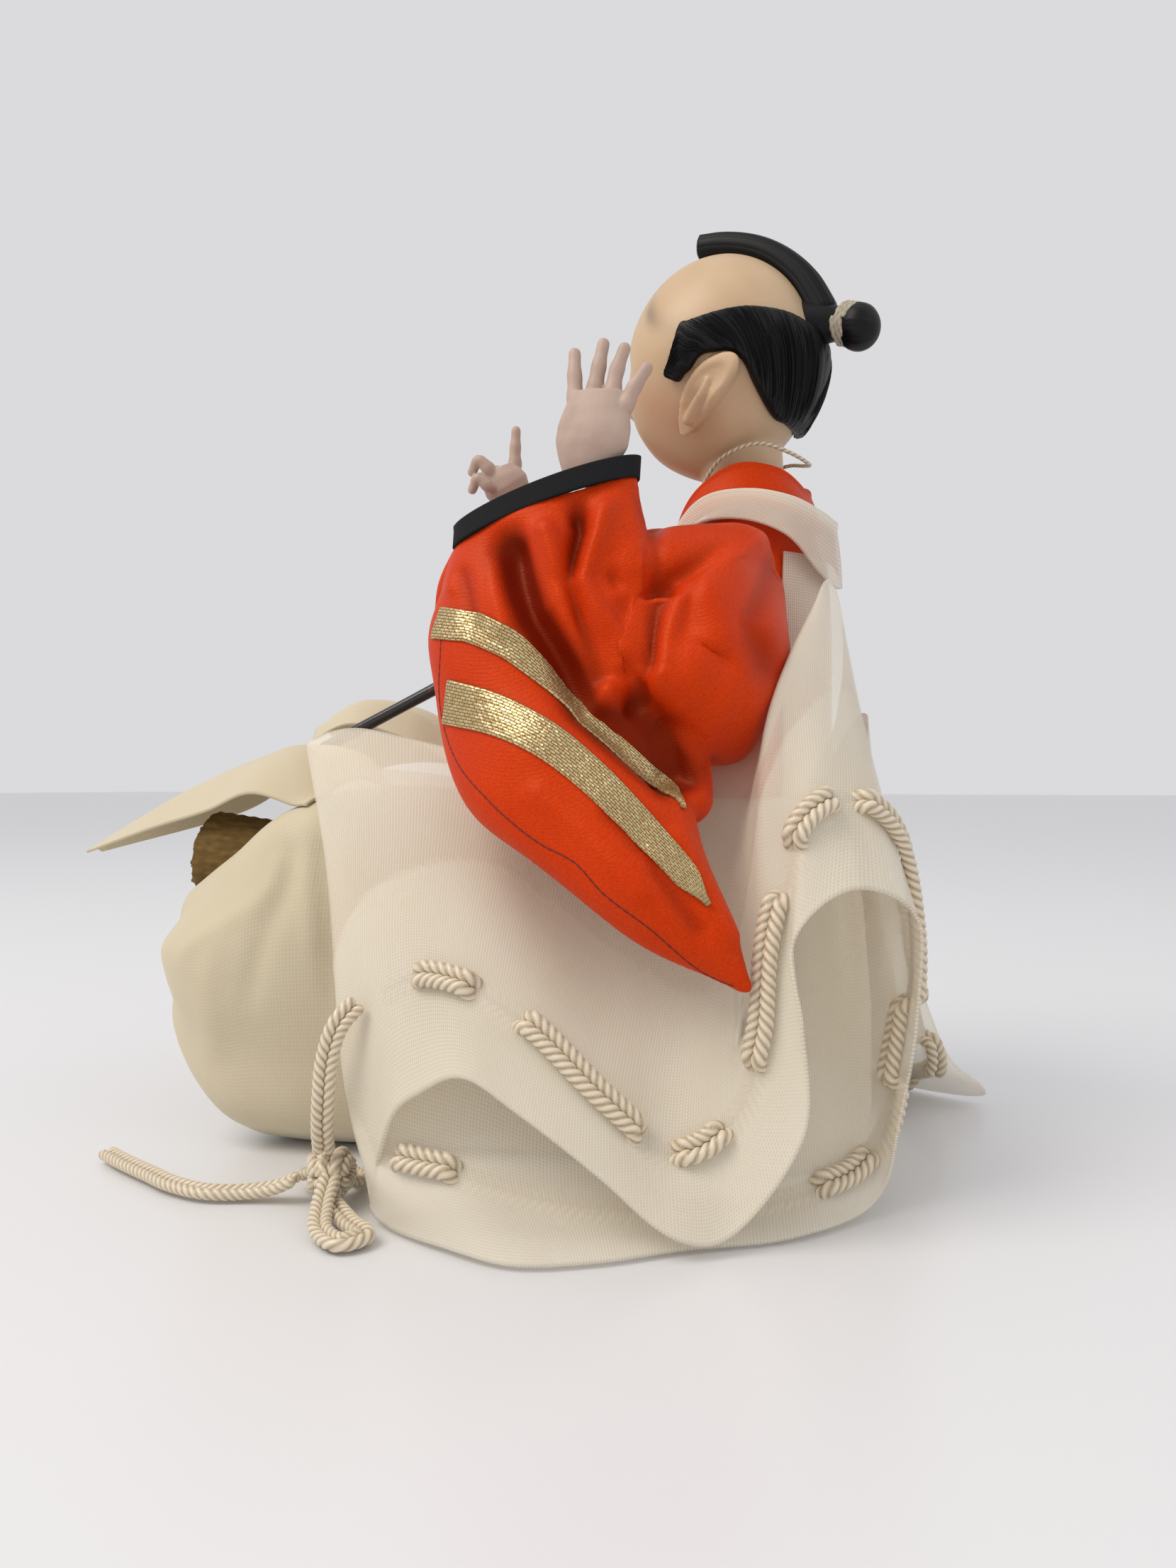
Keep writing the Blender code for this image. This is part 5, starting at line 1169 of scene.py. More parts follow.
# Folds of the left sleeve, by the pixels of the photograph: line, width in pixels, height in millimetres
leftFolds = (
    (((700, 730), (716, 770), (730, 815), (750, 865), (790, 926), (826, 990), (897, 1050), (947, 1090)), 27, -3.6),
    (((769, 747), (790, 811), (804, 869), (833, 926), (854, 976)), 16, 1.8),
    (((811, 704), (819, 747), (801, 819), (819, 883), (847, 954)), 14, -2.2),
    (((861, 676), (851, 729), (829, 783), (819, 819), (840, 861), (869, 897), (876, 936)), 17, 1.5),
    (((898, 783), (880, 812), (869, 840)), 20, 1.0),
    (((866, 815), (870, 824)), 11, -1.2),
    (((904, 801), (895, 860), (886, 919)), 11, 1.0),
    (((901, 672), (911, 711), (924, 751), (926, 811), (919, 854), (917, 936), (904, 983)), 12, -0.7),
    (((887, 940), (899, 968), (893, 990)), 9, -0.6),
    (((651, 808), (668, 880)), 11, -0.7),
    (((694, 790), (701, 840), (712, 890)), 10, 0.7),
    (((640, 760), (636, 830)), 9, 0.6),
    (((740, 720), (752, 790), (770, 850)), 12, 0.5),
    (((1079, 740), (1036, 783), (994, 829)), 22, 1.2),
    (((1072, 744), (1010, 782), (947, 819), (926, 869), (915, 936)), 15, -0.8),
    (((1029, 808), (1001, 854), (1011, 890), (969, 947), (933, 961)), 30, 1.0),
    (((964, 832), (940, 900), (934, 950)), 12, 0.7),
    (((905, 1000), (940, 1040), (983, 1093)), 24, -1.6),
    (((1090, 800), (1060, 880), (1085, 940)), 24, -0.8),
    (((960, 1180), (990, 1240), (1030, 1320)), 16, 0.8),
    (((900, 1160), (930, 1230), (985, 1310)), 14, -0.7),
    (((760, 1120), (830, 1180), (900, 1260)), 18, 0.7),
    (((860, 1150), (900, 1190)), 14, -0.6),
)
foldDepth = 1.4
deepFolds = tuple((line, width, foldDepth * height) for line, width, height in leftFolds)
cuffLine = ((620, 790), (647, 772), (694, 735), (761, 706), (811, 686), (901, 672))
leftSeam = ((622, 900), (621, 997), (629, 1036), (651, 1086), (679, 1119), (719, 1158), (761, 1190), (813, 1219),
            (845, 1255), (916, 1310), (995, 1374), (1054, 1399))


def makeKimonoSleeve(prefix):
    side = 1 if prefix == "left" else -1
    edges = sleeveShape[prefix + "Bag"]
    arm = smoothCurve(sleeveShape[prefix + "Arm"], 40)
    spans = len(sleeveShape[prefix + "Radii"]) - 1
    radii = np.interp(np.linspace(0, spans, 40), range(spans + 1), sleeveShape[prefix + "Radii"])
    shoulder = smoothCurve(sleeveShape[prefix + "Shoulder"], 24)
    made = fuseForms(prefix + "_satin_sleeve", [bagRings(edges, np.linspace(0, 8, 60)),
                                                tubeRings(arm, radii, 44),
                                                tubeRings(shoulder, np.linspace(9.5, 8.5, 24), 40, roundEnds=True),
                                                tubeRings(smoothCurve(sleeveShape[prefix + "Crease"], 24),
                                                          np.linspace(9.0, 5.0, 24), 32, roundEnds=True)],
                     sleeveShape["voxel"], 6)
    points, normals = readPoints(made), readNormals(made)
    # Soft padding: slow swells everywhere, and drag folds that run from the elbow down the bag
    x, y, z = points.T
    swell = 0.5 * np.sin(0.21 * y * side + 0.17 * z + 0.6) * np.sin(0.16 * x + 0.2 * z + 1.1)
    elbow = np.array(sleeveShape[prefix + "Arm"][-2], float)
    away = points - elbow
    spread = np.arctan2(away[:, 2], away[:, 1])
    dragDepth = 0.2 if side > 0 else 0.3
    drag = dragDepth * (np.sin(spread * 5 + 0.7) + 0.5 * np.sin(spread * 8 + 0.1 * away[:, 0])) \
        * np.exp(-((np.linalg.norm(away, axis=1) - 26) / 20) ** 2)
    writePoints(made, points + normals * (swell + drag)[:, None])
    # Hollows are marked for painted shade in the material: pressed folds on the left sleeve, drag folds alone on the
    # right
    if side > 0:
        fold_shade = np.clip(-pressFolds(made, deepFolds, fade=cuffLine) / 2.4, 0, 1)
    else:
        fold_shade = np.clip(-drag / 1.2, 0, 1)
    writePoints(made, offTrunk(readPoints(made), 0.75))
    mark(made, "fold_shade", fold_shade)
    dress(made, satin, "orange_satin", prefix + "_kimono_sleeve")
    return made


satinSleeves = {prefix: makeKimonoSleeve(prefix) for prefix in ("left", "right")}
print("kimono sleeves padded")

# Cuffs and the two gilt braids on each sleeve

trimShape = {
    "taper": 0.52, "cuffHeight": 3.2, "cuffWall": 0.9, "braidWall": 0.55, "upperWidth": 6.5, "lowerWidth": 8.5,
    "upper": ((1.9, 0.04), (2.25, 0.2), (2.9, 0.42), (3.75, 0.66), (4.9, 0.9)),
    "lower": ((2.9, 0.04), (3.45, 0.2), (4.4, 0.42), (5.8, 0.66), (7.25, 0.9)),
    # middles of the left sleeve's braids in the photograph, from the front edge
    "upperLine": ((617, 879), (664, 886), (712, 905), (760, 944), (803, 994), (850, 1040), (906, 1088), (955, 1128),
                  (972, 1160)),
    "lowerLine": ((631, 990), (698, 1008), (768, 1042), (837, 1097), (906, 1167), (968, 1236), (1013, 1295)),
}


def makeCuffTrim(prefix):
    edges = sleeveShape[prefix + "Bag"]
    low = bagRings(edges, [0.0], 60, 0.15)[0]
    run = unit(low.mean(axis=0) - bagRings(edges, [0.4], 60)[0].mean(axis=0))
    rows = np.linspace(-0.35, 1, 14)
    grid = low[None] + run * (0.25 + trimShape["cuffHeight"] * rows)[:, None, None]
    lift = gridNormals(grid, True)
    curve = (0.28 * np.sin(np.clip(rows, 0, 1) * math.pi))[:, None, None]
    ripple = 0.1 * np.sin(np.linspace(0, 2 * math.pi, grid.shape[1], endpoint=False) * 9)[None, :, None]
    outer = grid + lift * (trimShape["cuffWall"] / 2 + curve + ripple)
    inner = grid - lift * (trimShape["cuffWall"] / 2 + 0.2)
    made = clothShell(prefix + "_cuff_facing", outer, inner, around=True)
    dress(made, blackFacing, "black_facing", prefix + "_cuff")


def makeBraidTrim(prefix, which):
    # A band slanting over the bag: its middle line on the face, its width along the bag, each brick row domed
    edges = sleeveShape[prefix + "Bag"]
    width = trimShape[which + "Width"] * (1.0 if prefix == "left" else 0.7)
    tree = treeOf(satinSleeves[prefix])
    if prefix == "left":
        line = ontoSkin(tree, trimShape[which + "Line"], 160)[0]
    else:
        path = smoothCurve([(a, b, 0) for a, b in trimShape[which]], 160)[:, :2]
        line = bagSurface(edges, path[:, 0], path[:, 1], 1, 0.0)
        line = np.array([tree.find_nearest(Vector(p))[0] for p in line])
    line = smoothCurve(line[::8], 220)
    out = unit(np.array([tree.find_nearest(Vector(p))[1] for p in line]))
    for _ in range(30):
        out = unit(np.concatenate([out[:1], out[:-1]]) + 2 * out + np.concatenate([out[1:], out[-1:]]))
    heading = unit(np.gradient(line, axis=0))
    sideWay = unit(np.cross(heading, out))
    shares = np.linspace(-1, 1, 46)[:, None]
    share = np.linspace(0, 1, 220)[None, :]
    taper = 1 - (1 - trimShape["taper"]) * share - 0.4 * smoothStep(share, 0.9, 1.0)
    middle = line[None] + sideWay[None] * (shares * taper * width / 2)[..., None]
    out = np.broadcast_to(out[None], middle.shape)
    base = np.array([tree.find_nearest(Vector(p))[0] for p in middle.reshape(-1, 3)])
    height = np.sum((base.reshape(middle.shape) - middle) * out, axis=2)
    for _ in range(10 if prefix == "left" else 60):
        height[1:-1] = (height[:-2] + height[2:] + 2 * height[1:-1]) / 4
        height[:, 1:-1] = (height[:, :-2] + height[:, 2:] + 2 * height[:, 1:-1]) / 4
    rows = shares * width / 2
    run = runLength(middle[len(middle) // 2])[None, :]
    row = np.floor((rows + width / 2) / 0.62)
    brick = np.abs(np.sin(math.pi * (run / 1.35 + 0.5 * row))) ** 0.5 \
        * np.abs(np.sin(math.pi * (rows + width / 2) / 0.62)) ** 0.5
    rim = smoothStep(1 - np.abs(shares), 0, 0.08)
    height = height + (0.0 if prefix == "left" else 0.35)
    top = middle + out * (height + 0.12 + trimShape["braidWall"] * (0.45 + 0.55 * rim) + 0.1 * brick)[..., None]
    low = middle + out * (height + 0.06)[..., None]
    table = np.stack(np.broadcast_arrays(np.pad(run, ((0, 0), (0, 1)), mode="edge"),
                                         rows + width / 2), axis=-1)
    made = clothShell(prefix + "_" + which + "_gilt_braid", top, low, table=table)
    dress(made, braidGilt, "gold_braid", prefix + "_" + which + "_braid")


def makeSeamShadeLine():
    # The backstitched seam along the front edge, drawn as a sunk dark line that paints the shade in its crease, fuller
    # at every stitch
    line, out = ontoSkin(treeOf(satinSleeves["left"]), leftSeam, 300)
    line = smoothCurve(line[::10] - out[::10] * 0.05, 420)
    stitches = 0.19 * (0.65 + 0.35 * np.abs(np.sin(runLength(line) * math.pi / 1.6)))
    made = loftMesh("left_seam_shade_line", tubeRings(line, stitches, 8))
    dress(made, seamShadeInk, "orange_satin")


makeSeamShadeLine()
for prefix in ("left", "right"):
    makeCuffTrim(prefix)
    for which in ("upper", "lower"):
        makeBraidTrim(prefix, which)
print("cuffs and braids laid")

# Bodice, sash, robe back and collars

trunkShape = {
    "bottom": 66, "sash": 9, "robeTop": 126, "wrap": 45,
    "kimonoCollarTop": ((3.5, -15.6, 110), (9, -13.6, 125), (13, -5.5, 141), (13, 3, 145.3), (9.5, 10, 144.3),
        (0, 13.8, 140.5)),
    "kimonoCollarLow": ((7.5, -15.7, 106), (13.5, -13.3, 120), (16, -6.5, 133), (16, 3, 136.6), (12, 12.6, 134.6),
        (0, 16.3, 132.3)),
    "robeCollarTop": ((7, -17.6, 98), (12, -16.2, 112), (16.4, -12, 127), (18, -3, 137.6), (17, 7, 138.6),
        (13.5, 14.3, 137.2), (7, 18.4, 135.2), (0, 19.2, 134.6)),
    "robeCollarLow": ((12, -17.6, 95), (17.5, -15.4, 108), (20.5, -12, 122), (21.8, -4, 131.4), (21.2, 6, 132),
        (18.4, 14.4, 128.8), (10, 19.2, 122), (0, 20.4, 120)),
    "satinWall": 0.9, "gauzeWall": 0.7,
}


def trunkGrid(heights, turn, extra):
    # Oval rings of the trunk; turn is measured from the middle of the back
    rows = []
    for z in heights:
        halfX, halfY = trunkSize(z)
        rows.append(np.column_stack([(halfX + extra) * np.sin(turn),
                                     sleeveShape["trunkY"] + (halfY + extra) * np.cos(turn), np.full(len(turn), z)]))
    return np.stack(rows)


full = np.linspace(0, 2 * math.pi, 160, endpoint=False)
bodice = trunkGrid(np.linspace(trunkShape["bottom"], 135, 60), full, 0)
pull = 0.16 * np.sin(full * 11)[None, :, None] * smoothStep(bodice[..., 2:] * -1, -100, -70)
body = clothSheet("satin_bodice", bodice + gridNormals(bodice, True) * pull, 0.7, around=True)
mark(body, "fold_shade", np.zeros(len(body.data.vertices)))
dress(body, satin, "orange_satin", "kimono_body")

sashGrid = trunkGrid(np.linspace(trunkShape["bottom"], trunkShape["bottom"] + trunkShape["sash"], 26), full, 1.2)
crease = 0.14 * np.sin(np.linspace(0, 5 * math.pi, 26))[:, None, None]
sash = clothSheet("ivory_sash", sashGrid + gridNormals(sashGrid, True) * crease, 0.8, around=True)
dress(sash, cotton, "ivory_cotton", "waist_sash")

backTurn = np.radians(np.linspace(-trunkShape["wrap"], trunkShape["wrap"], 70))
backGrid = trunkGrid(np.linspace(trunkShape["bottom"] + trunkShape["sash"] + 0.4, trunkShape["robeTop"], 70),
                     backTurn, 1.15)
robeBack = clothSheet("gauze_robe_back", backGrid, 0.35)
mark(robeBack, "doubled", np.zeros(len(robeBack.data.vertices)))
dress(robeBack, layeredGauze, "ivory_gauze", "robe_body")


def makeCollarBand(name, top, low, wall, finish, slot, node, rollTop):
    # A folded band round the neck: its upper edge is a roll, its face falls away to the lower edge
    edges = []
    for half in (trunkShape[top], trunkShape[low]):
        left = np.array(half, float)
        edges.append(smoothCurve(np.vstack([left, left[-2::-1] * (-1, 1, 1)]), 260))
    share = np.linspace(0, 1, 26)[:, None, None]
    grid = edges[0][None] * (1 - share) + edges[1][None] * share
    lift = gridNormals(grid)
    outSign = np.sign(np.sum(lift[13, 130] * np.array((0, 1, 0.2))))
    belly = np.sin(share * math.pi) * 0.35
    roll = np.exp(-(share / 0.09) ** 2) * rollTop
    outer = grid + lift * outSign * (wall / 2 + belly + roll)
    inner = grid - lift * outSign * (wall / 2 - 0.05)
    made = clothShell(name, outer, inner)
    return dress(made, finish, slot, node)


satinCollar = makeCollarBand("satin_collar", "kimonoCollarTop", "kimonoCollarLow", 0.8, satin, "orange_satin",
                             "kimono_collar", 0.45)
mark(satinCollar, "fold_shade", np.zeros(len(satinCollar.data.vertices)))
gauzeCollar = makeCollarBand("gauze_collar", "robeCollarTop", "robeCollarLow", 0.5, layeredGauze, "ivory_gauze",
                             "robe_collar", 0.5)
mark(gauzeCollar, "doubled", np.concatenate([np.repeat(np.exp(-(np.linspace(0, 1, 26) / 0.16) ** 2), 260)] * 2))

neckShape = {"path": ((0, -10.1, 139.5), (7.6, -7.2, 142.5), (11.5, -1, 147.8), (10.5, 6.5, 150), (6, 12, 148.5),
        (0, 14.6, 147.2)), "radius": 0.42, "pitch": 1.4}
left = np.array(neckShape["path"], float)
loop = np.vstack([left, left[-2:0:-1] * (-1, 1, 1)])
loop = np.vstack([loop[-2:], loop, loop[:3]])
knots = runLength(loop)
ring = evenly(hermite(loop, knots, np.linspace(knots[2], knots[-3], 900)), 361)[:-1]
heading = unit(np.roll(ring, -1, axis=0) - np.roll(ring, 1, axis=0))
sideWay = unit(np.cross(heading, (0, 0, 1)))
upWay = np.cross(sideWay, heading)
turnNeck = np.linspace(0, 2 * math.pi, 10, endpoint=False)
windings = round(runLength(ring)[-1] / neckShape["pitch"])
phase = np.linspace(0, 2 * math.pi * windings, 360, endpoint=False)[:, None]
radiusNeck = neckShape["radius"] * (1 + 0.07 * np.cos(2 * turnNeck[None, :] - phase))
neckRings = ring[:, None] + radiusNeck[..., None] * (np.cos(turnNeck)[None, :, None] * sideWay[:, None]
                                                     + np.sin(turnNeck)[None, :, None] * upWay[:, None])
rowsNeck, columnsNeck = neckRings.shape[:2]
quads, _ = gridQuads(rowsNeck + 1, columnsNeck, True)
neckCord = outward(makeMesh("neck_tie_cord", neckRings.reshape(-1, 3), quads % (rowsNeck * columnsNeck),
                            uv=np.zeros((len(quads), 4, 2))))
# The crown share, which the cord material turns into painted shade in the grooves
mark(neckCord, "crown", (0.5 + 0.5 * np.cos(2 * turnNeck[None, :] - phase)).ravel())
dress(neckCord, cordSilk, "cream_cord", "neck_cord")
print("trunk dressed")

# Trousers: seat, padded legs, the straw rolls that show at their ends, and the stiff front flaps

trouserShape = {
    "seatHalf": (31, 25),
    # each station of a leg: y, middle x, half width, underside, top
    "stations": ((-116, 47, 5, 30, 46), (-112, 45.5, 12.5, 20, 54), (-105, 43.5, 17.5, 9, 60), (-97, 42, 20, 2, 66),
        (-86, 40, 20.5, 0.3, 75), (-72, 37, 19.5, 0.3, 78), (-56, 33, 18.5, 0.3, 78),
        (-40, 28.5, 17, 0.3, 75), (-26, 26, 15, 0.3, 70), (-16, 25, 14, 0.3, 64)),
    "flapLeft": (((20, -76, 74), (30, -77, 78.5), (40, -78, 78.5), (50, -80, 72)), ((20, -88, 85), (29, -90, 86.5),
        (40, -92, 85), (52, -94, 76)), ((20.5, -100, 84.4), (30, -102, 84.5), (41, -104, 82),
        (53, -106, 72)), ((27, -116, 72), (36, -118, 76.5), (45, -119, 76), (54, -121, 68)),
        ((52.5, -137, 62.5), (53.5, -137.5, 63.2), (54.5, -138, 63.2), (55.5, -138.5, 62.5))),
    "flapRight": (((-20, -76, 74), (-30, -77, 78.5), (-40, -78, 78.5), (-50, -80, 72)), ((-18, -88, 84),
        (-27, -90, 90), (-36, -91, 89), (-46, -92, 80)), ((-13, -98, 90), (-22, -100, 98), (-33, -101, 95),
        (-44, -103, 84)), ((-9, -112, 94), (-18, -114, 101), (-29, -115, 96), (-40, -117, 84)),
        ((-8, -124, 90), (-14, -126, 93.5), (-24, -127, 89), (-33, -128, 80))),
    "flapWall": 0.8, "coreStart": (25, -26, 50), "coreEnd": (43, -112, 62),
    "coreRadius": 10, "floor": 0.12,
}


def makeSeat():
    # Rings of an oval cushion, drawn in at the waist by gathers and flat where it sits on the table
    heights = np.array((trouserShape["floor"], 8.0, 30.0, 52.0, 65.7))
    swells = np.array((0.94, 1.0, 1.0, 0.92, 0.82))
    z = np.linspace(heights[0], heights[-1], 60)
    w = np.interp(z, heights, swells)[:, None]
    turn = np.linspace(0, 2 * math.pi, 180, endpoint=False)[None, :]
    gather = 0.5 * np.sin(turn * 17 + 1) * smoothStep(z[:, None], 25, 64) + 0.3 * np.sin(turn * 5)
    rings = np.stack([(trouserShape["seatHalf"][0] * w + gather) * np.cos(turn),
                      sleeveShape["trunkY"] + (trouserShape["seatHalf"][1] * w + gather) * np.sin(turn),
                      np.repeat(z[:, None], 180, 1)], axis=-1)
    made = loftMesh("trouser_seat_cloth", rings)
    dress(made, cotton, "ivory_cotton", "trouser_seat")
    return made


def makeLeg(prefix, side):
    # Squared oval rings along y; creases run back from the straw's end and droop to the table
    turn = np.linspace(0, 2 * math.pi, 130, endpoint=False)[None, :]
    rows = smoothCurve(trouserShape["stations"], 90)
    y, x, half, low, high = (rows[:, k:k + 1] for k in range(5))
    low = np.maximum(low, trouserShape["floor"])
    middle, tall = (low + high) / 2, (high - low) / 2
    px = x + half * np.sign(np.cos(turn)) * np.abs(np.cos(turn)) ** 0.8
    pz = middle + tall * np.sign(np.sin(turn)) * np.abs(np.sin(turn)) ** 0.8
    rings = np.stack([side * px, np.broadcast_to(y, px.shape), pz], axis=-1)
    run = (y + 116) / 100
    wave = 0.9 * np.sin(turn * 7 + 3.0 * run) * np.exp(-((run - 0.15) / 0.35) ** 2) \
        + 0.6 * np.sin(turn * 4 - 5 * run + 1) + 0.55 * np.sin(turn * 11 + 9 * run) * smoothStep(run, 0.3, 0.9)
    flatLow = smoothStep(pz, 0.5, 6.0)
    lift = gridNormals(rings, True)
    lift = lift * np.sign(np.sum(lift * (rings - rings.mean(axis=1, keepdims=True)), axis=(1, 2), keepdims=True))
    rings = rings + lift * (wave * flatLow)[..., None]
    rings[..., 2] = np.maximum(rings[..., 2], trouserShape["floor"])
    points = rings.reshape(-1, 3)
    # The straw roll lies along the top of the cloth's front end, so the cloth dips under it there
    start, end = (np.array(trouserShape[k], float) * (side, 1, 1) for k in ("coreStart", "coreEnd"))
    reach = unit(end - start)
    along = (points - start) @ reach
    off = points - start - along[:, None] * reach
    distance = np.linalg.norm(off, axis=1)
    need = trouserShape["coreRadius"] + 0.45
    near = (distance < need) & (points[:, 1] < -105)
    points[near] += (off / distance[:, None] * (need - distance)[:, None])[near]
    made = loftMesh(prefix + "_trouser_cloth", points.reshape(rings.shape))
    if side > 0:
        pressFolds(made, legFolds)
        points = readPoints(made)
        points[:, 2] = np.maximum(points[:, 2], trouserShape["floor"])
        writePoints(made, points)
    dress(made, cotton, "ivory_cotton", prefix + "_trouser_leg")
    return made


legFolds = (
    (((395, 1215), (385, 1250), (350, 1285), (300, 1310), (262, 1340)), 9, 0.8),
    (((415, 1200), (402, 1260), (372, 1320), (350, 1400)), 12, -0.9),
    (((430, 1160), (432, 1240), (440, 1330)), 10, 0.8),
    (((300, 1330), (290, 1400), (300, 1480)), 16, 0.4),
    (((455, 1200), (465, 1300), (470, 1400)), 14, -0.8),
)


def makeStrawCore(prefix, side):
    # A wound roll: shallow turns of binding round it, its square-cut end a rough field of straw ends
    start, end = (np.array(trouserShape[k], float) * (side, 1, 1) for k in ("coreStart", "coreEnd"))
    path = evenly(np.array([start, end]), 150)
    heading, first, second = pathFrames(path)
    turn = np.linspace(0, 2 * math.pi, 72, endpoint=False)
    run = runLength(path)[:, None]
    radius = trouserShape["coreRadius"] - 0.5 + 0.28 * np.abs(np.sin(run * 1.05 + turn[None, :] * 0.5)) \
        + 0.12 * np.sin(turn * 19)[None, :]
    rings = path[:, None] + radius[..., None] * (np.cos(turn)[None, :, None] * first[:, None]
                                                 + np.sin(turn)[None, :, None] * second[:, None])
    shrink = np.linspace(0.97, 0.04, 14)[:, None]
    bumps = 0.35 * np.sin(turn * 13)[None, :] * np.sin(shrink * 40) + 0.3 * np.sin(turn * 7 + 2)[None, :]
    face = (end + (radius[-1][None, :] * shrink)[..., None] * (np.cos(turn)[None, :, None] * first[-1]
            + np.sin(turn)[None, :, None] * second[-1]) + (0.25 + bumps * 0.5)[..., None] * heading[-1])
    made = loftMesh(prefix + "_straw_roll", np.concatenate([rings, face]))
    dress(made, straw, "straw", prefix + "_leg_core")
    # Cut straws: short six-sided stubs on a sunflower spread, each leaning a little
    count = 150
    index = np.arange(count)
    spot = 8.9 * np.sqrt((index + 0.5) / count)
    angle = index * math.pi * (3 - math.sqrt(5))
    centre = end + spot[:, None] * (np.cos(angle)[:, None] * first[-1] + np.sin(angle)[:, None] * second[-1])
    tall = chance.uniform(0.3, 1.25, count)[:, None]
    lean = chance.uniform(-0.16, 0.16, (count, 3))
    size = chance.uniform(0.42, 0.62, count)
    six = np.linspace(0, 2 * math.pi, 6, endpoint=False)
    circle = (np.cos(six)[None, :, None] * first[-1] + np.sin(six)[None, :, None] * second[-1]) * size[:, None, None]
    levels = []
    for share, grow in ((-1.2, 1.0), (1.0, 0.96), (0.72, 0.5)):
        middle = centre + (heading[-1] + lean) * tall * share
        levels.append(middle[:, None] + circle * grow)
    stubs = np.stack(levels, axis=1)
    quads, _ = gridQuads(3, 6, True)
    firsts = (np.arange(count) * 18)[:, None, None]
    caps = np.array([[0, 2, 1], [0, 3, 2], [0, 4, 3], [0, 5, 4],
                     [12, 13, 14], [12, 14, 15], [12, 15, 16], [12, 16, 17]])
    ends = outward(makeMesh(prefix + "_straw_ends", stubs.reshape(-1, 3), (quads[None] + firsts).reshape(-1, 4),
                            (caps[None] + firsts).reshape(-1, 3)))
    dress(ends, straw, "straw")
    return made


def makeFrontFlap(prefix, carriers):
    # A stiff cloth tongue: the control net smoothed, pleated lengthways and set on the leg below it
    grid = smoothNet(trouserShape["flap" + prefix.capitalize()], 64, 80)
    grid = layClear(grid, carriers, 0.75)
    across = np.linspace(-1, 1, 64)[None, :]
    along = np.linspace(0, 1, 80)[:, None]
    pleat = 0.5 * np.exp(-((across - 0.15 + 0.2 * along) / 0.12) ** 2) - 0.4 * np.exp(-((across + 0.3) / 0.1) ** 2)
    lift = gridNormals(grid)
    lift = lift * np.sign(lift[40, 32, 2])
    grid = grid + lift * (pleat * smoothStep(along, 0.15, 0.5) * (1 - smoothStep(along, 0.8, 1.0)))[..., None]
    made = clothSheet(prefix + "_front_flap_cloth", grid, 0.6)
    dress(made, cotton, "ivory_cotton", prefix + "_front_flap")
    return made


seatCloth = makeSeat()
legCloths, strawRolls = {}, {}
for prefix, side in (("left", 1), ("right", -1)):
    legCloths[prefix] = makeLeg(prefix, side)
    strawRolls[prefix] = makeStrawCore(prefix, side)
    makeFrontFlap(prefix, [treeOf(legCloths[prefix]), treeOf(strawRolls[prefix])])
print("trousers padded")

# Lacquered stick in the lap

stickShape = {"path": ((12, -60, 106), (15.5, -80, 96.3), (19, -100, 86.6)), "radius": 1.45}
stickPath = smoothCurve(stickShape["path"], 90)
stickRadii = stickShape["radius"] * (1 + 0.02 * np.sin(np.linspace(0, 9, 90)))
dress(loftMesh("urushi_stick", tubeRings(stickPath, stickRadii, 28)), urushi, "black_lacquer",
      "lacquer_stick")

# Gauze sleeves: rows from the waist to the mouth, columns over the top and back underneath

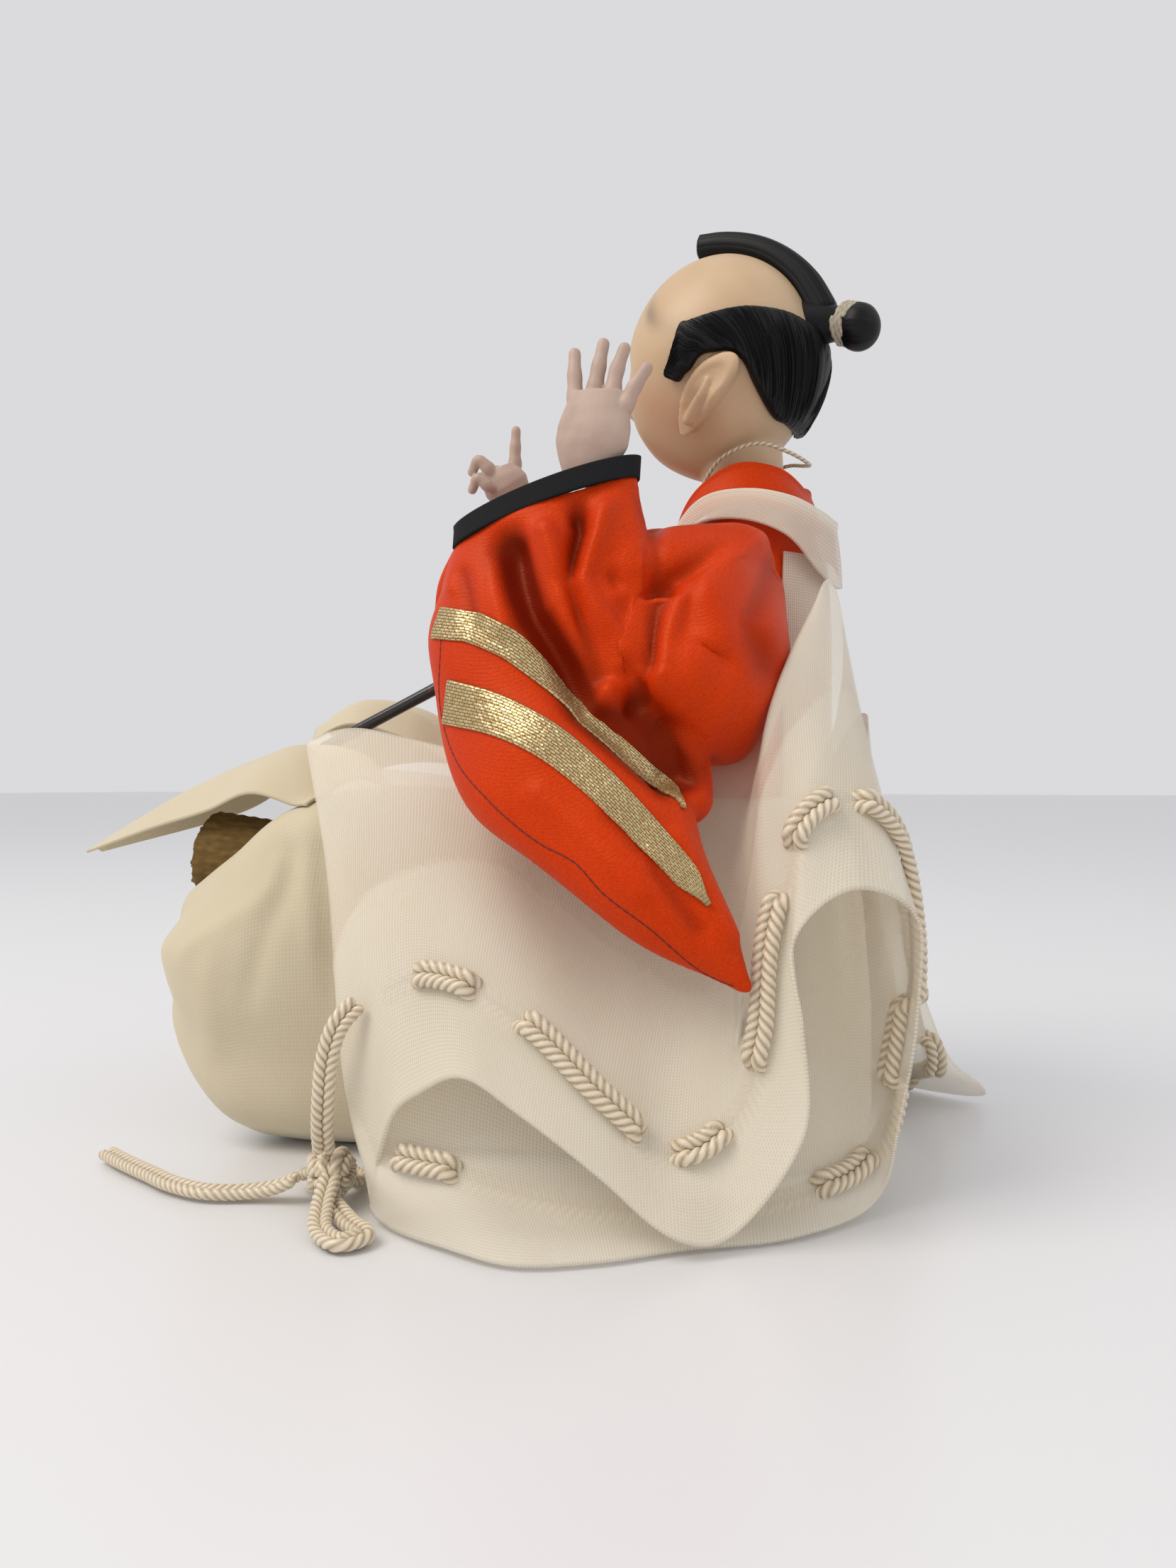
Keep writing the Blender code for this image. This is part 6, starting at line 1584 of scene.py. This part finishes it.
gauzeShape = {
    "rows": (((46, -84, 86.5), (43, -74, 90), (41, -58, 87), (38, -40, 83), (35, -22, 81), (31.5, -6, 80),
        (29.5, 7, 85), (27, 15, 93), (25, 19.5, 104), (22.8, 22, 114), (20, 23.2, 118.5), (17, 24.2, 117.5),
        (15.2, 25.2, 112), (14.2, 25.4, 105), (14.2, 24.8, 97), (17, 22.8, 86), (24, 16.5, 76),
        (29, -3, 73.5), (33, -20, 75), (35.5, -38, 77), (38, -56, 80), (41, -73, 82)), ((60, -68, 61),
        (58, -61, 69), (56, -49, 71), (54, -34, 66), (51, -21, 56), (48, -7, 46), (46, 5, 47), (44, 12, 62),
        (43.5, 16, 79), (42, 18.5, 92), (36, 23, 99), (28, 28, 98), (24, 31, 91), (22, 32.5, 81),
        (22, 31.5, 66), (25, 28, 44), (37, 19, 32), (45, 2, 33), (50, -14, 39), (54, -31, 50),
        (57, -47, 57), (59, -60, 58)), ((74, -54, 31), (72, -51, 43), (70, -41, 49), (70, -29, 47),
        (69, -16, 40), (67, -4, 28), (62, 7, 20), (57, 15, 26), (55, 19.5, 42), (53, 21.5, 61),
        (47, 27, 78), (39, 33, 80), (33, 38, 71), (30, 40.5, 55), (30, 39, 35), (33, 34, 14), (46, 23, 8),
        (58, 7, 8), (67, -8, 10), (73, -26, 15), (76, -40, 18), (76, -50, 21)), ((79, -44, 4),
        (82, -38, 19), (82, -32, 25), (81, -24, 28), (80, -14, 23), (77, 0, 13), (74, 12, 4), (67, 20, 4),
        (61, 30, 20), (60, 29, 37), (60, 28, 52), (52, 36, 60), (41, 45, 54), (38, 44, 37), (37, 41, 17),
        (40, 37, 3), (57, 27, 1), (70, 12, 1), (81, 1, 1), (88, -11, 1), (86, -25, 1), (82, -38, 1))),
    "rightRear": {7: ((-25, 13, 84), (-44, 11, 52), (-56, 14, 24), (-67, 18, 4)), 8: ((-24.5, 17, 90), (-44, 14, 60),
        (-55, 15, 34), (-62, 22, 16)), 9: ((-23, 20.5, 94), (-42, 16, 68), (-53, 17, 46), (-60, 21, 28)),
        10: ((-20, 22.5, 94), (-36, 20, 72), (-47, 20, 54), (-59, 22, 38)), 11: ((-17, 23.6, 93),
        (-29, 23, 70), (-39, 24, 52), (-52, 27, 40)), 12: ((-15, 24, 90), (-25, 25, 66), (-34, 27, 48),
        (-42, 31, 34)), 13: ((-14, 24, 86), (-23, 26.5, 58), (-31, 29, 38), (-39, 33, 24)),
        14: ((-14, 23, 80), (-22, 27, 48), (-31, 31, 26), (-42, 38, 12)), 15: ((-16, 21.5, 74),
        (-25, 26, 36), (-34, 32, 14), (-49, 45, 3))},
    "across": 250, "along": 72, "wall": 0.26, "clear": 0.45, "floor": 0.3, "hem": 44.0,
    "lacingShare": 0.75, "start": 1.3, "end": 20.6, "turnsUnder": 12.9,
    "upper": ((2.1, 3.1), (3.9, 5.5), (6.1, 6.9), (7.7, 9.2), (9.7, 10.5), (11.1, 13)),
    "under": ((13.6, 14.3), (15, 15.7), (19.3, 20.1)),
    "cordLift": 0.95,
}
lacingShape = dict(cordShape, plyRadius=1.36, spread=1.2, pitch=5.0, lobeDepth=0.27)


def gauzeSurface(side, across, along):
    rows = np.array(gauzeShape["rows"], float) * (side, 1, 1)
    if side < 0:
        for column, places in gauzeShape["rightRear"].items():
            rows[:, column] = places
    rows = np.concatenate([rows, rows[:, :1]], axis=1)
    wrapped = np.concatenate([rows[:, -4:-1], rows, rows[:, 1:4]], axis=1)
    columns = np.arange(-3, rows.shape[1] + 3, dtype=float)
    at = np.linspace(0, rows.shape[1] - 1, across, endpoint=False)
    wide = np.stack([hermite(row, columns, at) for row in wrapped])
    lines = np.arange(len(rows), dtype=float)
    return np.stack([hermite(wide[:, i], lines, np.linspace(0, lines[-1], along)) for i in range(across)], axis=1)


def makeGauzeSleeve(prefix, side):
    carriers = [treeOf(made) for made in (seatCloth, legCloths[prefix], robeBack, satinSleeves[prefix])]
    grid = gauzeSurface(side, gauzeShape["across"], gauzeShape["along"])
    grid = layClear(grid, carriers, gauzeShape["clear"] + gauzeShape["wall"] / 2, gauzeShape["floor"], around=True)
    lift = gridNormals(grid, True)
    centre = grid.reshape(-1, 3).mean(axis=0)
    if np.mean(np.sum(lift * (grid - centre), axis=2)) < 0:
        lift = -lift
    # Faint standing ripples near the mouth, none where the cloth lies on the table
    rows = np.linspace(0, 1, gauzeShape["along"])[:, None]
    around = np.linspace(0, 2 * math.pi, gauzeShape["across"], endpoint=False)[None, :]
    ripple = 0.22 * np.sin(around * 13 + 3 * rows) * smoothStep(rows, 0.3, 0.8) * smoothStep(grid[..., 2], 3, 9)
    grid = grid + lift * ripple[..., None]
    grid[..., 2] = np.maximum(grid[..., 2], gauzeShape["floor"])
    # Rows of the mouth hem are doubled back inside; the doubled band is milkier
    spans = np.linalg.norm(np.diff(grid, axis=0), axis=2)
    toMouth = np.concatenate([np.cumsum(spans[::-1], axis=0)[::-1], np.zeros((1, grid.shape[1]))])
    doubled = 1 - smoothStep(toMouth, gauzeShape["hem"] - 0.8, gauzeShape["hem"] + 0.8)
    # The narrow top hangs folded on itself, so it looks milkier too
    doubled = np.maximum(doubled, 1 - smoothStep(rows, 0.2, 0.55))
    edgeRoll = 0.22 * np.exp(-(toMouth / 0.9) ** 2)
    seamLine = 0.12 * np.exp(-((toMouth - gauzeShape["hem"]) / 0.8) ** 2)
    half = gauzeShape["wall"] / 2 + edgeRoll + seamLine
    outer, inner = grid + lift * half[..., None], grid - lift * half[..., None]
    made = clothShell(prefix + "_gauze_sleeve", outer, inner, around=True)
    mark(made, "doubled", np.concatenate([doubled.ravel(), doubled.ravel()]))
    dress(made, sheerGauze, "ivory_gauze", prefix + "_robe_sleeve")
    return grid, lift


def makeLacing(prefix, grid, lift):
    # The cord's path is one row of the cloth; it stands off on one side or the other and slips through between
    columns = grid.shape[1]
    row = gauzeShape["lacingShare"] * (grid.shape[0] - 1)
    low, f = int(row), row - int(row)
    ring = grid[low] * (1 - f) + grid[low + 1] * f
    ways = unit(lift[low] * (1 - f) + lift[low + 1] * f)
    for _ in range(4):
        ways = unit(ways + np.roll(ways, 1, axis=0) + np.roll(ways, -1, axis=0))
    period = len(gauzeShape["rows"][0])
    at = np.linspace(gauzeShape["start"], gauzeShape["end"], 1400)
    index = at / period * columns
    closed = np.arange(columns + 1)
    path = np.stack([np.interp(index % columns, closed, np.append(ring[:, k], ring[0, k])) for k in range(3)], axis=1)
    out = unit(np.stack([np.interp(index % columns, closed, np.append(ways[:, k], ways[0, k])) for k in range(3)],
                        axis=1))
    over = np.where(at < gauzeShape["turnsUnder"], -1.0, 1.0)
    for first, last in gauzeShape["upper"]:
        over[(at >= first) & (at <= last)] = 1.0
    for first, last in gauzeShape["under"]:
        over[(at >= first) & (at <= last)] = -1.0
    run = runLength(path)
    evenRun = np.linspace(0, run[-1], 2400)
    overEven = np.interp(evenRun, run, over)
    half = int(1.7 / (evenRun[1] - evenRun[0]))
    bell = np.hanning(2 * half + 1)
    overEven = np.convolve(np.pad(overEven, half, mode="edge"), bell / bell.sum(), mode="valid")
    path = np.stack([np.interp(evenRun, run, path[:, k]) for k in range(3)], axis=1)
    out = unit(np.stack([np.interp(evenRun, run, out[:, k]) for k in range(3)], axis=1))
    path = path + out * (overEven * (lacingShape["plyRadius"] + gauzeShape["wall"] / 2 + 0.05))[:, None]
    path[:, 2] = np.maximum(path[:, 2], lacingShape["plyRadius"] + 0.1)
    made = pairedCord(prefix + "_lacing", [(path, out)], lacingShape)
    return dress(made, cordSilk, "cream_cord", prefix + "_sleeve_lacing")


for prefix, side in (("left", 1), ("right", -1)):
    makeLacing(prefix, *makeGauzeSleeve(prefix, side))
print("gauze draped and laced")

# Floor, backdrop and light

stageShape = {"reach": 9.0, "key": 10.5, "fill": 1.5, "air": 0.78}
floorPoints = np.array([(-1, -1, 0), (1, -1, 0), (1, 1, 0), (-1, 1, 0)]) * stageShape["reach"] / mm
floor = makeMesh("white_table", floorPoints, [(0, 1, 2, 3)])
tableWhite, tree, shader = newMaterial("gloss_white_laminate", 0.3, Specular_IOR_Level=0.45)
shader.inputs["Base Color"].default_value = linear("#E4E4E6")
floor.data.materials.append(tableWhite)


def addLight(name, place, target, size, power, colour):
    data = bpy.data.lights.new(name, "AREA")
    data.shape = "DISK"
    data.size = size
    data.energy = power
    data.color = linear(colour)[:3]
    light = bpy.data.objects.new(name, data)
    light.location = place
    light.rotation_euler = (Vector(target) - Vector(place)).to_track_quat("-Z", "Y").to_euler()
    bpy.context.scene.collection.objects.link(light)


aim = (0.0, -0.02, 0.08)
addLight("window", (0.75, -0.55, 1.15), aim, 0.9, stageShape["key"], "#FFF8EF")
addLight("room", (0.2, 1.2, 0.7), aim, 1.2, stageShape["fill"], "#F4F7FF")
world = bpy.data.worlds.new("pale_room")
world.use_nodes = True
world.node_tree.nodes["Background"].inputs[0].default_value = linear("#F4F4F6")
world.node_tree.nodes["Background"].inputs[1].default_value = stageShape["air"]
bpy.context.scene.world = world
bpy.context.scene.view_settings.view_transform = "Standard"

print("stage set")
